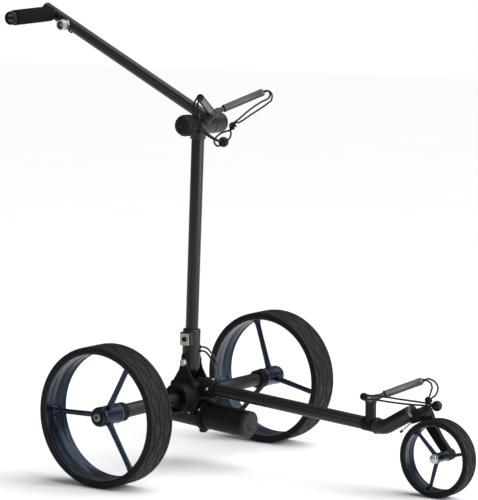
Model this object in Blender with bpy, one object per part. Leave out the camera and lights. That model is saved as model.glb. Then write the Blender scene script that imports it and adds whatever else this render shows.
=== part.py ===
"""Three-wheel electric golf trolley: single-post frame, two driven rear wheels and a small
front wheel, two V-shaped bag rests with elastic straps, and a folding handle.

Lengths are metres. +X is forward, +Y is left, +Z is up. The ground is z = 0. Places are
written with x measured from the rear axle and moved by FRAME_SHIFT_X, so the origin is
on the ground under the middle of the object's box.
"""
import math

import bmesh
import bpy
from mathutils import Matrix, Vector

# ---------------------------------------------------------------- driving dimensions
FRAME_SHIFT_X = 0.1246
GAP = 0.0003

REAR_RADIUS = 0.150
REAR_WIDTH = 0.073
REAR_CENTRE_Y = 0.3065
REAR_SPOKE_ANGLES = {"right": (61.0, 181.0, -59.0), "left": (107.0, -13.0, -133.0)}
HUB_RADIUS = 0.021
HUB_INNER_Y = 0.2655
HUB_OUTER_Y = 0.3345
STUB_RADIUS = 0.0065
BUTTON_RADIUS = 0.0100

FRONT_RADIUS = 0.0817
FRONT_WIDTH = 0.0395
FRONT_X = 0.629
FRONT_CENTRE_Y = 0.0015
FRONT_SPOKE_ANGLES = (135.0, 14.0, -105.0)

AXLE_Z = 0.150
AXLE_TUBE_RADIUS = 0.015
FLANGE_RADIUS = 0.033
FLANGE_Y = (0.030, 0.061)

FRONT_TUBE_RADIUS = 0.0140
FRONT_TUBE_Z0 = 0.1739
FRONT_TUBE_SLOPE = -0.0836
FRONT_TUBE_X = (0.041, 0.4872)
NECK_RADIUS = 0.0160
NECK_RISE_DEG = 30.5
NECK_CORNER_X = 0.501
NECK_END_X = 0.572
NECK_BEND_RADIUS = 0.040

BATTERY_RADIUS = 0.0295
BATTERY_FRONT = (0.158, 0.100)
BATTERY_LENGTH = 0.222

PIVOT = (-0.0023, 0.0, 0.2255)
UPRIGHT_FOOT = (0.0006, 0.295)
UPRIGHT_HEAD = (0.0195, 0.747)
UPRIGHT_RADIUS = 0.0139
SLEEVE_RADIUS = 0.0195
EAR_Y = (0.0210, 0.0275)

HINGE = (0.0195, 0.0, 0.747)
HINGE_RADIUS = 0.0225
HINGE_BOLT_RADIUS = 0.0060
HANDLE_Y = 0.060
HANDLE_RADIUS = 0.0130
HANDLE_CORNER = (-0.4297, 0.060, 0.9787)
HANDLE_BEYOND_GRIP = 0.0290
GRIP_RADIUS = 0.0172
GRIP_DROP_DEG = 2.9
GRIP_SPAN = (0.0140, 0.1435)
DIAL_LENGTH = 0.0135

UPPER_ROOT = (0.0575, 0.0, 0.7722)
UPPER_TIP = (0.109, 0.117, 0.8143)
LOWER_ROOT = (0.4656, 0.0, 0.1875)
LOWER_TIP = (0.5206, 0.1147, 0.2162)
ARM_ROD_RADIUS = 0.0055
SLEEVE_BORE = 0.0058
ARM_SLEEVE_RADIUS = 0.0082
ARM_SLEEVE_START = {"upper": 0.0290, "lower": 0.0335}
STRAP_DIAMETER = 0.0040
LEAD_DIAMETER = 0.0044
BALL_RADIUS = 0.0112

# colour, roughness, metallic
FINISHES = {
    "satin_black": ((0.014, 0.014, 0.017), 0.42, 0.55),
    "cast_black": ((0.012, 0.012, 0.013), 0.60, 0.20),
    "anodised_blue": ((0.020, 0.034, 0.060), 0.28, 0.85),
    "rubber": ((0.018, 0.020, 0.017), 0.82, 0.0),
    "sleeve": ((0.014, 0.017, 0.013), 0.30, 0.0),
    "foam": ((0.009, 0.007, 0.005), 0.88, 0.0),
    "steel": ((0.62, 0.62, 0.58), 0.30, 1.0),
    "gold_steel": ((0.52, 0.49, 0.40), 0.34, 1.0),
    "dark_cap": ((0.060, 0.062, 0.068), 0.55, 0.0),
    "battery": ((0.010, 0.010, 0.010), 0.48, 0.0),
    "cord": ((0.010, 0.010, 0.010), 0.80, 0.0),
    "ball": ((0.012, 0.012, 0.013), 0.32, 0.0),
}


# ---------------------------------------------------------------- helpers
def at(x, y, z):
    """A place whose x is measured from the rear axle."""
    return Vector((x - FRAME_SHIFT_X, y, z))


def front_tube_z(x):
    return FRONT_TUBE_Z0 + FRONT_TUBE_SLOPE * x


def make_material(name, finish):
    colour, roughness, metallic = FINISHES[finish]
    material = bpy.data.materials.new(name)
    material.use_nodes = True
    shader = material.node_tree.nodes["Principled BSDF"]
    shader.inputs["Base Color"].default_value = (*colour, 1.0)
    shader.inputs["Roughness"].default_value = roughness
    shader.inputs["Metallic"].default_value = metallic
    return material


def joint_empty(name, place, parent=None):
    """An empty on a joint's axis, which the moving pieces hang on."""
    empty = bpy.data.objects.new(name, None)
    empty.empty_display_size = 0.03
    bpy.context.collection.objects.link(empty)
    empty["place"] = tuple(place)
    if parent is not None:
        empty.parent = parent
        empty.location = place - Vector(parent["place"])
    else:
        empty.location = place
    return empty


def add_piece(name, bm, finish, origin, parent=None, smooth=True):
    """Turns a bmesh in world coordinates into a named object with its origin at a given place."""
    bmesh.ops.recalc_face_normals(bm, faces=bm.faces)
    bmesh.ops.translate(bm, verts=bm.verts, vec=-origin)
    mesh = bpy.data.meshes.new(name)
    bm.to_mesh(mesh)
    bm.free()
    piece = bpy.data.objects.new(name, mesh)
    bpy.context.collection.objects.link(piece)
    piece.data.materials.append(make_material(name, finish))
    if parent is None:
        piece.location = origin
    else:
        piece.parent = parent
        piece.location = origin - Vector(parent["place"])
    if smooth:
        mesh.shade_smooth()
        mesh.set_sharp_from_angle(angle=math.radians(35.0))
    return piece


def ring_of(bm, centre, u, v, radius, sides):
    ring = []
    for i in range(sides):
        angle = 2.0 * math.pi * i / sides
        ring.append(bm.verts.new(centre + radius * (math.cos(angle) * u + math.sin(angle) * v)))
    return ring


def bridge(bm, low, high):
    count = len(low)
    for i in range(count):
        j = (i + 1) % count
        bm.faces.new((low[i], low[j], high[j], high[i]))


def axis_frame(axis):
    """Two unit vectors square to an axis. Across-track axes get +X first."""
    axis = axis.normalized()
    guide = Vector((1, 0, 0)) if abs(axis.x) < 0.8 else Vector((0, 1, 0))
    u = (guide - axis * guide.dot(axis)).normalized()
    return u, axis.cross(u)


def lathe(profile, start, axis, sides, closed, bm=None):
    """Turns (radius, distance) points about the axis through start.
    A closed profile makes a ring; an open one starts and ends on the axis."""
    bm = bm or bmesh.new()
    axis = axis.normalized()
    u, v = axis_frame(axis)
    rings = []
    for radius, along in profile:
        centre = start + axis * along
        if radius < 1e-9:
            rings.append([bm.verts.new(centre)])
        else:
            rings.append(ring_of(bm, centre, u, v, radius, sides))
    pairs = list(zip(rings[:-1], rings[1:]))
    if closed:
        pairs.append((rings[-1], rings[0]))
    for low, high in pairs:
        if len(low) == 1:
            for i in range(sides):
                bm.faces.new((low[0], high[(i + 1) % sides], high[i]))
        elif len(high) == 1:
            for i in range(sides):
                bm.faces.new((low[i], low[(i + 1) % sides], high[0]))
        else:
            bridge(bm, low, high)
    return bm


def rod(start, end, radius, sides, chamfer=0.0):
    """A solid round bar between two points."""
    length = (end - start).length
    profile = [(0.0, 0.0), (radius - chamfer, 0.0)]
    if chamfer > 0.0:
        profile += [(radius, chamfer), (radius, length - chamfer)]
    profile += [(radius - chamfer, length), (0.0, length)]
    return lathe(profile, start, end - start, sides, False)


def sweep(points, radii, sides):
    """A solid round bar along a path, with its own radius at each point."""
    bm = bmesh.new()
    tangents = []
    for i in range(len(points)):
        before = points[max(i - 1, 0)]
        after = points[min(i + 1, len(points) - 1)]
        tangents.append((after - before).normalized())
    u, v = axis_frame(tangents[0])
    rings = []
    for i, point in enumerate(points):
        if i > 0:
            turn = tangents[i - 1].rotation_difference(tangents[i])
            u = turn @ u
        u = (u - tangents[i] * u.dot(tangents[i])).normalized()
        v = tangents[i].cross(u)
        rings.append(ring_of(bm, point, u, v, radii[i], sides))
    for low, high in zip(rings[:-1], rings[1:]):
        bridge(bm, low, high)
    bm.faces.new(list(reversed(rings[0])))
    bm.faces.new(rings[-1])
    return bm


def fillet(start, corner, end, radius, steps):
    """Start, an arc at the corner, and end."""
    back = (start - corner).normalized()
    ahead = (end - corner).normalized()
    half = back.angle(ahead) / 2.0
    centre = corner + (back + ahead).normalized() * (radius / math.sin(half))
    tangent = radius / math.tan(half)
    first = corner + back * tangent - centre
    turn = first.rotation_difference(corner + ahead * tangent - centre)
    points = [start]
    for i in range(steps + 1):
        part = turn.copy()
        part = Matrix.Rotation(turn.angle * i / steps, 3, turn.axis)
        points.append(centre + part @ first)
    points.append(end)
    return points


def prism(outline, low_y, high_y):
    """An outline of (x, z) points, drawn straight across the track."""
    bm = bmesh.new()
    near = [bm.verts.new(at(x, low_y, z)) for x, z in outline]
    far = [bm.verts.new(at(x, high_y, z)) for x, z in outline]
    bridge(bm, near, far)
    bm.faces.new(list(reversed(near)))
    bm.faces.new(far)
    bmesh.ops.recalc_face_normals(bm, faces=bm.faces)
    return bm


def rounded_box(low, high, chamfer, segments):
    bm = bmesh.new()
    bmesh.ops.create_cube(bm, size=1.0)
    centre = (Vector(low) + Vector(high)) / 2.0
    size = Vector(high) - Vector(low)
    bmesh.ops.scale(bm, vec=size, verts=bm.verts)
    bmesh.ops.translate(bm, vec=at(*centre), verts=bm.verts)
    bmesh.ops.bevel(bm, geom=bm.edges[:], offset=chamfer, segments=segments, profile=0.5, affect="EDGES")
    return bm


def tapered_bar(start, end, side, widths, thickness, chamfer):
    """A bar with cut corners: widths along side, thickness square to it."""
    bm = bmesh.new()
    axis = (end - start).normalized()
    other = axis.cross(side).normalized()
    rings = []
    for place, width in ((start, widths[0]), (end, widths[1])):
        a = width / 2.0
        b = thickness / 2.0
        c = chamfer
        corners = [(a, -b + c), (a, b - c), (a - c, b), (-a + c, b),
                   (-a, b - c), (-a, -b + c), (-a + c, -b), (a - c, -b)]
        rings.append([bm.verts.new(place + side * s + other * t) for s, t in corners])
    bridge(bm, rings[0], rings[1])
    bm.faces.new(list(reversed(rings[0])))
    bm.faces.new(rings[1])
    bmesh.ops.recalc_face_normals(bm, faces=bm.faces)
    return bm


def tool_object(bm):
    bmesh.ops.recalc_face_normals(bm, faces=bm.faces)
    mesh = bpy.data.meshes.new("tool")
    bm.to_mesh(mesh)
    bm.free()
    tool = bpy.data.objects.new("tool", mesh)
    bpy.context.collection.objects.link(tool)
    tool.hide_render = True
    tool.display_type = "WIRE"
    return tool


def carve(bm, unions=(), cuts=()):
    """The solid with every union joined to it and every cut taken away, as a new bmesh."""
    base = tool_object(bm)
    tools = []
    for operation, group in (("UNION", unions), ("DIFFERENCE", cuts)):
        for other in group:
            tool = tool_object(other)
            tools.append(tool)
            modifier = base.modifiers.new(operation, "BOOLEAN")
            modifier.operation = operation
            modifier.solver = "EXACT"
            modifier.object = tool
    bpy.context.view_layer.update()
    graph = bpy.context.evaluated_depsgraph_get()
    mesh = bpy.data.meshes.new_from_object(base.evaluated_get(graph))
    result = bmesh.new()
    result.from_mesh(mesh)
    bmesh.ops.remove_doubles(result, verts=result.verts, dist=0.00001)
    bmesh.ops.dissolve_degenerate(result, edges=result.edges, dist=0.00001)
    bpy.data.meshes.remove(mesh)
    for tool in tools + [base]:
        data = tool.data
        bpy.data.objects.remove(tool)
        bpy.data.meshes.remove(data)
    return result


def smooth_route(points, spacing):
    """Evenly spaced points on a smooth curve through the route's points."""
    dense = []
    count = len(points)
    for i in range(count - 1):
        p0 = points[max(i - 1, 0)]
        p1 = points[i]
        p2 = points[i + 1]
        p3 = points[min(i + 2, count - 1)]
        t0 = 0.0
        t1 = t0 + math.sqrt(max((p1 - p0).length, 1e-5))
        t2 = t1 + math.sqrt(max((p2 - p1).length, 1e-5))
        t3 = t2 + math.sqrt(max((p3 - p2).length, 1e-5))
        for k in range(24):
            t = t1 + (t2 - t1) * k / 24.0
            a1 = p0.lerp(p1, (t - t0) / (t1 - t0)) if i > 0 else p1.copy()
            a2 = p1.lerp(p2, (t - t1) / (t2 - t1))
            a3 = p2.lerp(p3, (t - t2) / (t3 - t2)) if i < count - 2 else p2.copy()
            b1 = a1.lerp(a2, (t - t0) / (t2 - t0)) if i > 0 else a2.copy()
            b2 = a2.lerp(a3, (t - t1) / (t3 - t1)) if i < count - 2 else a2.copy()
            dense.append(b1.lerp(b2, (t - t1) / (t2 - t1)))
    dense.append(points[-1].copy())
    lengths = [0.0]
    for a, b in zip(dense[:-1], dense[1:]):
        lengths.append(lengths[-1] + (b - a).length)
    steps = max(4, round(lengths[-1] / spacing))
    result = []
    j = 0
    for i in range(steps + 1):
        target = lengths[-1] * i / steps
        while j < len(lengths) - 2 and lengths[j + 1] < target:
            j += 1
        span = max(lengths[j + 1] - lengths[j], 1e-9)
        result.append(dense[j].lerp(dense[j + 1], (target - lengths[j]) / span))
    return result


def add_cord(name, route, diameter, parent=None):
    """A round cord as a bevelled curve with filled ends."""
    points = smooth_route(route, 2.8 * diameter)
    curve = bpy.data.curves.new(name, "CURVE")
    curve.dimensions = "3D"
    spline = curve.splines.new("POLY")
    spline.points.add(len(points) - 1)
    origin = Vector(parent["place"]) if parent is not None else Vector((0, 0, 0))
    for target, point in zip(spline.points, points):
        target.co = (*(point - origin), 1.0)
    curve.bevel_depth = diameter / 2.0
    curve.bevel_resolution = 2
    curve.use_fill_caps = True
    cord = bpy.data.objects.new(name, curve)
    bpy.context.collection.objects.link(cord)
    cord.data.materials.append(make_material(name, "cord"))
    cord.parent = parent
    return cord


# ---------------------------------------------------------------- wheels
def tyre_profile(radius, half, inner, lip, seat):
    """Closed section: a crowned tread, round shoulders and two lips over the rim's edges."""
    shoulder = half * 0.80
    return [(inner, -seat), (inner, seat), (lip, seat), (lip, half), (radius - 0.0016, half),
            (radius, shoulder), (radius, -shoulder), (radius - 0.0016, -half), (lip, -half), (lip, -seat)]


def rim_profile(outer, inner, half, bevel):
    """Closed section: a drum, a little thinner at its edges."""
    return [(inner, -half + bevel), (inner, half - bevel), (inner + bevel, half),
            (outer, half), (outer, -half), (inner + bevel, -half)]


def spider(hub_profile, hub_start, hub_axis, centre, angles, hub_radius, reach, widths, thickness):
    """Hub and three spokes as one casting."""
    spokes = []
    for degrees in angles:
        angle = math.radians(degrees)
        out = Vector((math.cos(angle), 0.0, math.sin(angle)))
        across = Vector((-math.sin(angle), 0.0, math.cos(angle)))
        start = centre + out * (hub_radius * 0.72)
        end = centre + out * reach
        spokes.append(tapered_bar(start, end, across, widths, thickness, 0.0022))
    return carve(lathe(hub_profile, hub_start, hub_axis, 24, True), spokes)


def build_rear_wheel(side):
    sign = -1.0 if side == "right" else 1.0
    out = Vector((0.0, sign, 0.0))
    centre = at(0.0, sign * REAR_CENTRE_Y, AXLE_Z)
    wheel = joint_empty(side + "_wheel_axis", centre)
    half = REAR_WIDTH / 2.0
    tyre = tyre_profile(REAR_RADIUS, half, 0.1396, 0.1366, half - 0.0017)
    add_piece(side + "_tyre", lathe(tyre, centre, out, 36, True), "rubber", centre, wheel)
    rim = rim_profile(0.1392, 0.1350, half - 0.0020, 0.0012)
    add_piece(side + "_rim", lathe(rim, centre, out, 36, True), "anodised_blue", centre, wheel)
    bore = STUB_RADIUS + GAP
    pocket = BUTTON_RADIUS + GAP
    hub = [(bore, HUB_INNER_Y), (HUB_RADIUS - 0.0015, HUB_INNER_Y), (HUB_RADIUS, HUB_INNER_Y + 0.0015),
           (HUB_RADIUS, HUB_OUTER_Y - 0.0065), (HUB_RADIUS - 0.0025, HUB_OUTER_Y - 0.0018),
           (HUB_RADIUS - 0.0070, HUB_OUTER_Y), (pocket, HUB_OUTER_Y),
           (pocket, HUB_OUTER_Y - 0.0165), (bore, HUB_OUTER_Y - 0.0165)]
    body = spider(hub, at(0.0, 0.0, AXLE_Z), out, centre, REAR_SPOKE_ANGLES[side],
                  HUB_RADIUS, 0.1340, (0.0125, 0.0105), 0.0100)
    add_piece(side + "_spider", body, "anodised_blue", centre, wheel)
    base = HUB_OUTER_Y - 0.0125
    button = [(0.0, base), (BUTTON_RADIUS, base), (BUTTON_RADIUS, HUB_OUTER_Y + 0.0012),
              (0.0088, HUB_OUTER_Y + 0.0034), (0.0058, HUB_OUTER_Y + 0.0046),
              (0.0, HUB_OUTER_Y + 0.0046)]
    place = at(0.0, sign * (HUB_OUTER_Y - 0.002), AXLE_Z)
    slide = joint_empty(side + "_release_axis", place, wheel)
    add_piece(side + "_release_button", lathe(button, at(0.0, 0.0, AXLE_Z), out, 20, False),
              "steel", place, slide)


def build_front_wheel():
    across = Vector((0.0, 1.0, 0.0))
    centre = at(FRONT_X, FRONT_CENTRE_Y, FRONT_RADIUS)
    wheel = joint_empty("front_wheel_axis", centre)
    half = FRONT_WIDTH / 2.0
    tyre = tyre_profile(FRONT_RADIUS, half, 0.0729, 0.0704, half - 0.0014)
    add_piece("front_tyre", lathe(tyre, centre, across, 36, True), "rubber", centre, wheel)
    rim = rim_profile(0.0726, 0.0692, half - 0.0017, 0.0010)
    add_piece("front_rim", lathe(rim, centre, across, 36, True), "anodised_blue", centre, wheel)
    hub = [(0.0045, -0.0125), (0.0095, -0.0125), (0.0107, -0.0113), (0.0107, 0.0345),
           (0.0100, 0.0352), (0.0045, 0.0352)]
    body = spider(hub, at(FRONT_X, 0.0, FRONT_RADIUS), across, centre, FRONT_SPOKE_ANGLES, 0.0107, 0.0685,
                  (0.0088, 0.0070), 0.0070)
    add_piece("front_spider", body, "anodised_blue", centre, wheel)


# ---------------------------------------------------------------- frame
def battery_axis():
    """A point of the battery's axis at a given x, and the axis pointing forward."""
    direction = Vector((1.0, 0.0, FRONT_TUBE_SLOPE)).normalized()
    nose = at(BATTERY_FRONT[0], 0.0, BATTERY_FRONT[1])
    return nose, direction


def build_casting():
    across = Vector((0.0, 1.0, 0.0))
    tube_axis = Vector((1.0, 0.0, FRONT_TUBE_SLOPE)).normalized()
    nose, forward = battery_axis()
    block = rounded_box((-0.036, -0.036, 0.112), (0.033, 0.036, 0.186), 0.008, 2)
    unions = []
    cuts = []
    for sign in (-1.0, 1.0):
        out = across * sign
        flange = [(0.0, FLANGE_Y[0] - 0.004), (FLANGE_RADIUS, FLANGE_Y[0] - 0.004),
                  (FLANGE_RADIUS, FLANGE_Y[1] - 0.003), (FLANGE_RADIUS - 0.003, FLANGE_Y[1]),
                  (0.0, FLANGE_Y[1])]
        unions.append(lathe(flange, at(0.0, 0.0, AXLE_Z), out, 28, False))
        bore = AXLE_TUBE_RADIUS + GAP
        recess = [(0.0, 0.0442), (bore, 0.0442), (bore, 0.0545), (0.0262, 0.0545),
                  (0.0280, 0.0650), (0.0, 0.0650)]
        cuts.append(lathe(recess, at(0.0, 0.0, AXLE_Z), out, 28, False))
        ear = [(-0.034, 0.176), (-0.0275, 0.190), (-0.0160, 0.2080), (-0.0100, 0.2260),
               (-0.0090, 0.2385), (-0.0065, 0.2445), (-0.0023, 0.2465), (0.0022, 0.2450),
               (0.0048, 0.2390), (0.0062, 0.2270), (0.0115, 0.2080), (0.0220, 0.1900),
               (0.032, 0.176)]
        low, high = sorted((sign * EAR_Y[0], sign * EAR_Y[1]))
        unions.append(prism(ear, low, high))
    start = at(0.018, 0.0, front_tube_z(0.018))
    socket = [(0.0, 0.0), (0.0205, 0.0), (0.0205, 0.0440), (0.0195, 0.0482), (0.0, 0.0482)]
    unions.append(lathe(socket, start, tube_axis, 24, False))
    cuts.append(rod(at(0.0405, 0.0, front_tube_z(0.0405)), at(0.080, 0.0, front_tube_z(0.080)),
                    FRONT_TUBE_RADIUS + GAP, 24))
    cuts.append(rod(nose - forward * (BATTERY_LENGTH + 0.02), nose + forward * 0.01,
                    BATTERY_RADIUS + GAP, 32))
    cuts.append(rod(at(PIVOT[0], -0.05, PIVOT[2]), at(PIVOT[0], 0.05, PIVOT[2]), 0.0043, 14))
    for x in (0.0600, 0.0530):
        cuts.append(rod(at(x, 0.0115, 0.1815), at(x, 0.0115, 0.200), LEAD_DIAMETER / 2.0 + 0.0009, 10))
    add_piece("axle_casting", carve(block, unions, cuts), "cast_black", at(0.0, 0.0, AXLE_Z))


def build_axles():
    for side, sign in (("right", -1.0), ("left", 1.0)):
        out = Vector((0.0, sign, 0.0))
        centre = at(0.0, 0.0, AXLE_Z)
        tube = rod(at(0.0, sign * 0.0445, AXLE_Z), at(0.0, sign * 0.2475, AXLE_Z), AXLE_TUBE_RADIUS, 24)
        add_piece(side + "_axle_tube", tube, "satin_black", at(0.0, sign * 0.150, AXLE_Z))
        collar = [(0.0, 0.2478), (0.0193, 0.2478), (0.0205, 0.2490), (0.0205, 0.2650),
                  (STUB_RADIUS, 0.2650), (STUB_RADIUS, 0.3120), (0.0, 0.3120)]
        add_piece(side + "_axle_collar", lathe(collar, centre, out, 24, False), "satin_black",
                  at(0.0, sign * 0.256, AXLE_Z))


def build_front_boom():
    tube_start = at(FRONT_TUBE_X[0], 0.0, front_tube_z(FRONT_TUBE_X[0]))
    tube_end = at(FRONT_TUBE_X[1], 0.0, front_tube_z(FRONT_TUBE_X[1]))
    add_piece("front_tube", rod(tube_start, tube_end, FRONT_TUBE_RADIUS, 24), "satin_black", tube_start)
    corner = at(NECK_CORNER_X, 0.0, front_tube_z(NECK_CORNER_X))
    rise = math.tan(math.radians(NECK_RISE_DEG))
    end = corner + Vector((1.0, 0.0, rise)) * (NECK_END_X - NECK_CORNER_X)
    begin = at(0.4785, 0.0, front_tube_z(0.4785))
    path = fillet(begin, corner, end, NECK_BEND_RADIUS, 4)
    axis = (path[1] - path[0]).normalized()
    path.insert(1, begin + axis * 0.0070)
    last = (path[-1] - path[-2]).normalized()
    path.insert(-1, path[-1] - last * 0.0065)
    path.insert(-1, path[-1] - last * 0.0060)
    radii = [0.0176, 0.0176] + [NECK_RADIUS] * 5 + [NECK_RADIUS, 0.0150, 0.0145]
    while len(radii) < len(path):
        radii.insert(2, NECK_RADIUS)
    socket = rod(begin - axis * 0.01, tube_end + axis * GAP, FRONT_TUBE_RADIUS + GAP, 24)
    add_piece("front_neck", carve(sweep(path, radii, 20), (), (socket,)), "satin_black", begin)

    post = rod(at(LOWER_ROOT[0], 0.0, 0.130), at(LOWER_ROOT[0], 0.0, 0.1785), 0.0115, 24)
    saddle = rod(at(0.40, 0.0, front_tube_z(0.40)), at(0.53, 0.0, front_tube_z(0.53)),
                 FRONT_TUBE_RADIUS + GAP, 28)
    lower_half = rounded_box((0.43, -0.03, 0.09), (0.50, 0.03, 0.139), 0.001, 1)
    add_piece("lower_post", carve(post, (), (saddle, lower_half)), "satin_black",
              at(LOWER_ROOT[0], 0.0, 0.15))


def build_fork():
    outline = [(0.5680, 0.1571), (0.5745, 0.1497), (0.5790, 0.1502), (0.5850, 0.1562),
               (0.5930, 0.1625), (0.5980, 0.1665), (0.5980, 0.1720), (0.5955, 0.1765),
               (0.5880, 0.1795), (0.5765, 0.1800), (0.5735, 0.1770)]
    head = prism(outline, -0.0140, 0.0300)
    axle = at(FRONT_X, 0.0, FRONT_RADIUS)
    arm = [(0.5620, 0.1560), (0.5590, 0.1660), (0.5625, 0.1755), (0.5720, 0.1785),
           (0.5830, 0.1745), (0.5885, 0.1640), (0.5965, 0.1420), (0.6140, 0.1150),
           (0.6360, 0.0890), (0.6400, 0.0810), (0.6365, 0.0725), (0.6300, 0.0702),
           (0.6235, 0.0725), (0.6180, 0.0800), (0.5690, 0.1400)]
    leg = prism(arm, 0.0395, 0.0530)
    bridge_bar = rod(at(0.576, 0.020, 0.168), at(0.576, 0.045, 0.168), 0.0095, 16)
    pad = lathe([(0.0, 0.0356), (0.0112, 0.0356), (0.0125, 0.0372), (0.0125, 0.0550),
                 (0.0112, 0.0560), (0.0, 0.0560)], axle, Vector((0.0, 1.0, 0.0)), 20, False)
    channel = prism([(0.5770, 0.1440), (0.6190, 0.0925), (0.6270, 0.0930), (0.5840, 0.1480)],
                    0.0505, 0.0600)
    bore = rod(axle - Vector((0.0, 0.02, 0.0)), axle + Vector((0.0, 0.07, 0.0)), 0.0043, 14)
    rise = Vector((1.0, 0.0, math.tan(math.radians(NECK_RISE_DEG)))).normalized()
    neck_end = at(NECK_END_X, 0.0, front_tube_z(NECK_CORNER_X)) + Vector((0.0, 0.0, 1.0)) * (
        (NECK_END_X - NECK_CORNER_X) * math.tan(math.radians(NECK_RISE_DEG)))
    seat = rod(neck_end - rise * 0.05, neck_end + rise * GAP, NECK_RADIUS + 0.0010, 24)
    add_piece("front_fork", carve(head, (leg, pad, bridge_bar), (channel, bore, seat)), "satin_black",
              at(0.586, 0.02, 0.170))

    shaft = rod(axle - Vector((0.0, 0.0145, 0.0)), axle + Vector((0.0, 0.0590, 0.0)), 0.0040, 16)
    nut = lathe([(0.0, -0.0196), (0.0060, -0.0196), (0.0088, -0.0184), (0.0092, -0.0172),
                 (0.0092, -0.0130), (0.0, -0.0130)], axle, Vector((0.0, 1.0, 0.0)), 6, False)
    add_piece("front_axle_bolt", carve(nut, (shaft,)), "steel", axle, smooth=True)

    top = at(0.5705, 0.0, 0.1536)
    low = at(0.5386, 0.0, 0.1258)
    length = (top - low).length
    stem = [(0.0, 0.0), (0.0022, 0.0), (0.0028, 0.0008), (0.0028, 0.0070), (0.0020, 0.0074),
            (0.0020, length - 0.0060), (0.0034, length - 0.0056), (0.0034, length), (0.0, length)]
    under = rod(neck_end - rise * 0.06, neck_end + rise * 0.01, NECK_RADIUS + GAP, 28)
    add_piece("tracking_adjuster", carve(lathe(stem, low, top - low, 12, False), (), (under,)),
              "steel", top)


def build_battery():
    nose, forward = battery_axis()
    body_end = nose - forward * 0.0090
    tube = [(0.0, 0.0), (BATTERY_RADIUS - 0.0015, 0.0), (BATTERY_RADIUS, 0.0015),
            (BATTERY_RADIUS, BATTERY_LENGTH - 0.0090), (0.0, BATTERY_LENGTH - 0.0090)]
    add_piece("battery_tube", lathe(tube, nose - forward * BATTERY_LENGTH, forward, 32, False),
              "battery", body_end)
    cap = [(0.0, GAP), (BATTERY_RADIUS, GAP), (BATTERY_RADIUS, 0.0072),
           (BATTERY_RADIUS - 0.0018, 0.0090), (0.0, 0.0090)]
    add_piece("battery_cap", lathe(cap, body_end, forward, 32, False), "dark_cap", body_end)

    centre = nose - forward * 0.1180
    inner = BATTERY_RADIUS + GAP
    ring = [(inner, -0.0055), (inner, 0.0055), (0.0345, 0.0055), (0.0345, -0.0055)]
    lug = rounded_box((0.0245, -0.0075, 0.0705), (0.0390, 0.0075, 0.0830), 0.002, 1)
    wall = rod(nose - forward * 0.2, nose, inner, 32)
    band = lathe(ring, centre, forward, 32, True)
    add_piece("battery_clamp", carve(band, (carve(lug, (), (wall,)),)), "cast_black", centre)


def add_screw(name, place, axis, radius, height, sink, finish="steel"):
    """A domed screw whose shank ends sink below the surface."""
    start = place - axis * sink
    profile = [(0.0, 0.0), (radius * 0.55, 0.0), (radius * 0.55, sink + GAP), (radius, sink + GAP),
               (radius, sink + height * 0.55), (radius * 0.62, sink + height), (0.0, sink + height)]
    add_piece(name, lathe(profile, start, axis, 12, False), finish, place)


def build_frame_screws():
    tube_axis = Vector((1.0, 0.0, FRONT_TUBE_SLOPE)).normalized()
    up = Vector((-FRONT_TUBE_SLOPE, 0.0, 1.0)).normalized()
    on_axis = at(0.0555, 0.0, front_tube_z(0.0555))
    side = (Vector((0.0, -1.0, 0.0)) + 0.10 * up).normalized()
    side = (side - tube_axis * side.dot(tube_axis)).normalized()
    for name, axis in (("socket_screw_top", up), ("socket_screw_side", side)):
        add_screw(name, on_axis + axis * 0.0205, axis, 0.0034, 0.0026, -GAP)


def build_pivot_bolt():
    across = Vector((0.0, 1.0, 0.0))
    centre = at(*PIVOT)
    reach = EAR_Y[1] + GAP
    shaft = rod(centre - across * (reach + 0.003), centre + across * (reach + 0.003), 0.0040, 16)
    head = lathe([(0.0, reach), (0.0072, reach), (0.0072, reach + 0.0040), (0.0055, reach + 0.0060),
                  (0.0, reach + 0.0060)], centre, -across, 16, False)
    nut = lathe([(0.0, reach), (0.0075, reach), (0.0075, reach + 0.0055), (0.0, reach + 0.0055)],
                centre, across, 6, False)
    add_piece("pivot_bolt", carve(shaft, (head, nut)), "steel", centre)


# ---------------------------------------------------------------- bag rests
def arm_points(root, tip, sign):
    start = at(*root)
    end = at(tip[0], sign * tip[1], tip[2])
    return start, end, (end - start).normalized()


def build_rest(level, root, tip, hub, parent):
    """A V of two rods on a hub, and a rubber sleeve on each rod."""
    rods = []
    for side, sign in (("right", -1.0), ("left", 1.0)):
        start, end, along = arm_points(root, tip, sign)
        length = (end - start).length
        rods.append(rod(start, end - along * 0.0200, ARM_ROD_RADIUS, 14))
        skirt = ARM_SLEEVE_START[level]
        sleeve = [(SLEEVE_BORE, skirt), (ARM_SLEEVE_RADIUS, skirt), (ARM_SLEEVE_RADIUS, length - 0.0022),
                  (ARM_SLEEVE_RADIUS - 0.0010, length), (SLEEVE_BORE, length)]
        add_piece(level + "_" + side + "_arm_sleeve", lathe(sleeve, start, along, 16, True), "sleeve",
                  start + along * skirt, parent)
    add_piece(level + "_cradle", carve(hub, rods), "satin_black", at(*root), parent)


def build_lower_rest():
    base = at(LOWER_ROOT[0], 0.0, 0.0)
    hub = lathe([(0.0, 0.1788), (0.0112, 0.1788), (0.0124, 0.1798), (0.0124, 0.1890),
                 (0.0090, 0.1950), (0.0, 0.1970)], base, Vector((0, 0, 1)), 20, False)
    build_rest("lower", LOWER_ROOT, LOWER_TIP, hub, None)


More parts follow.
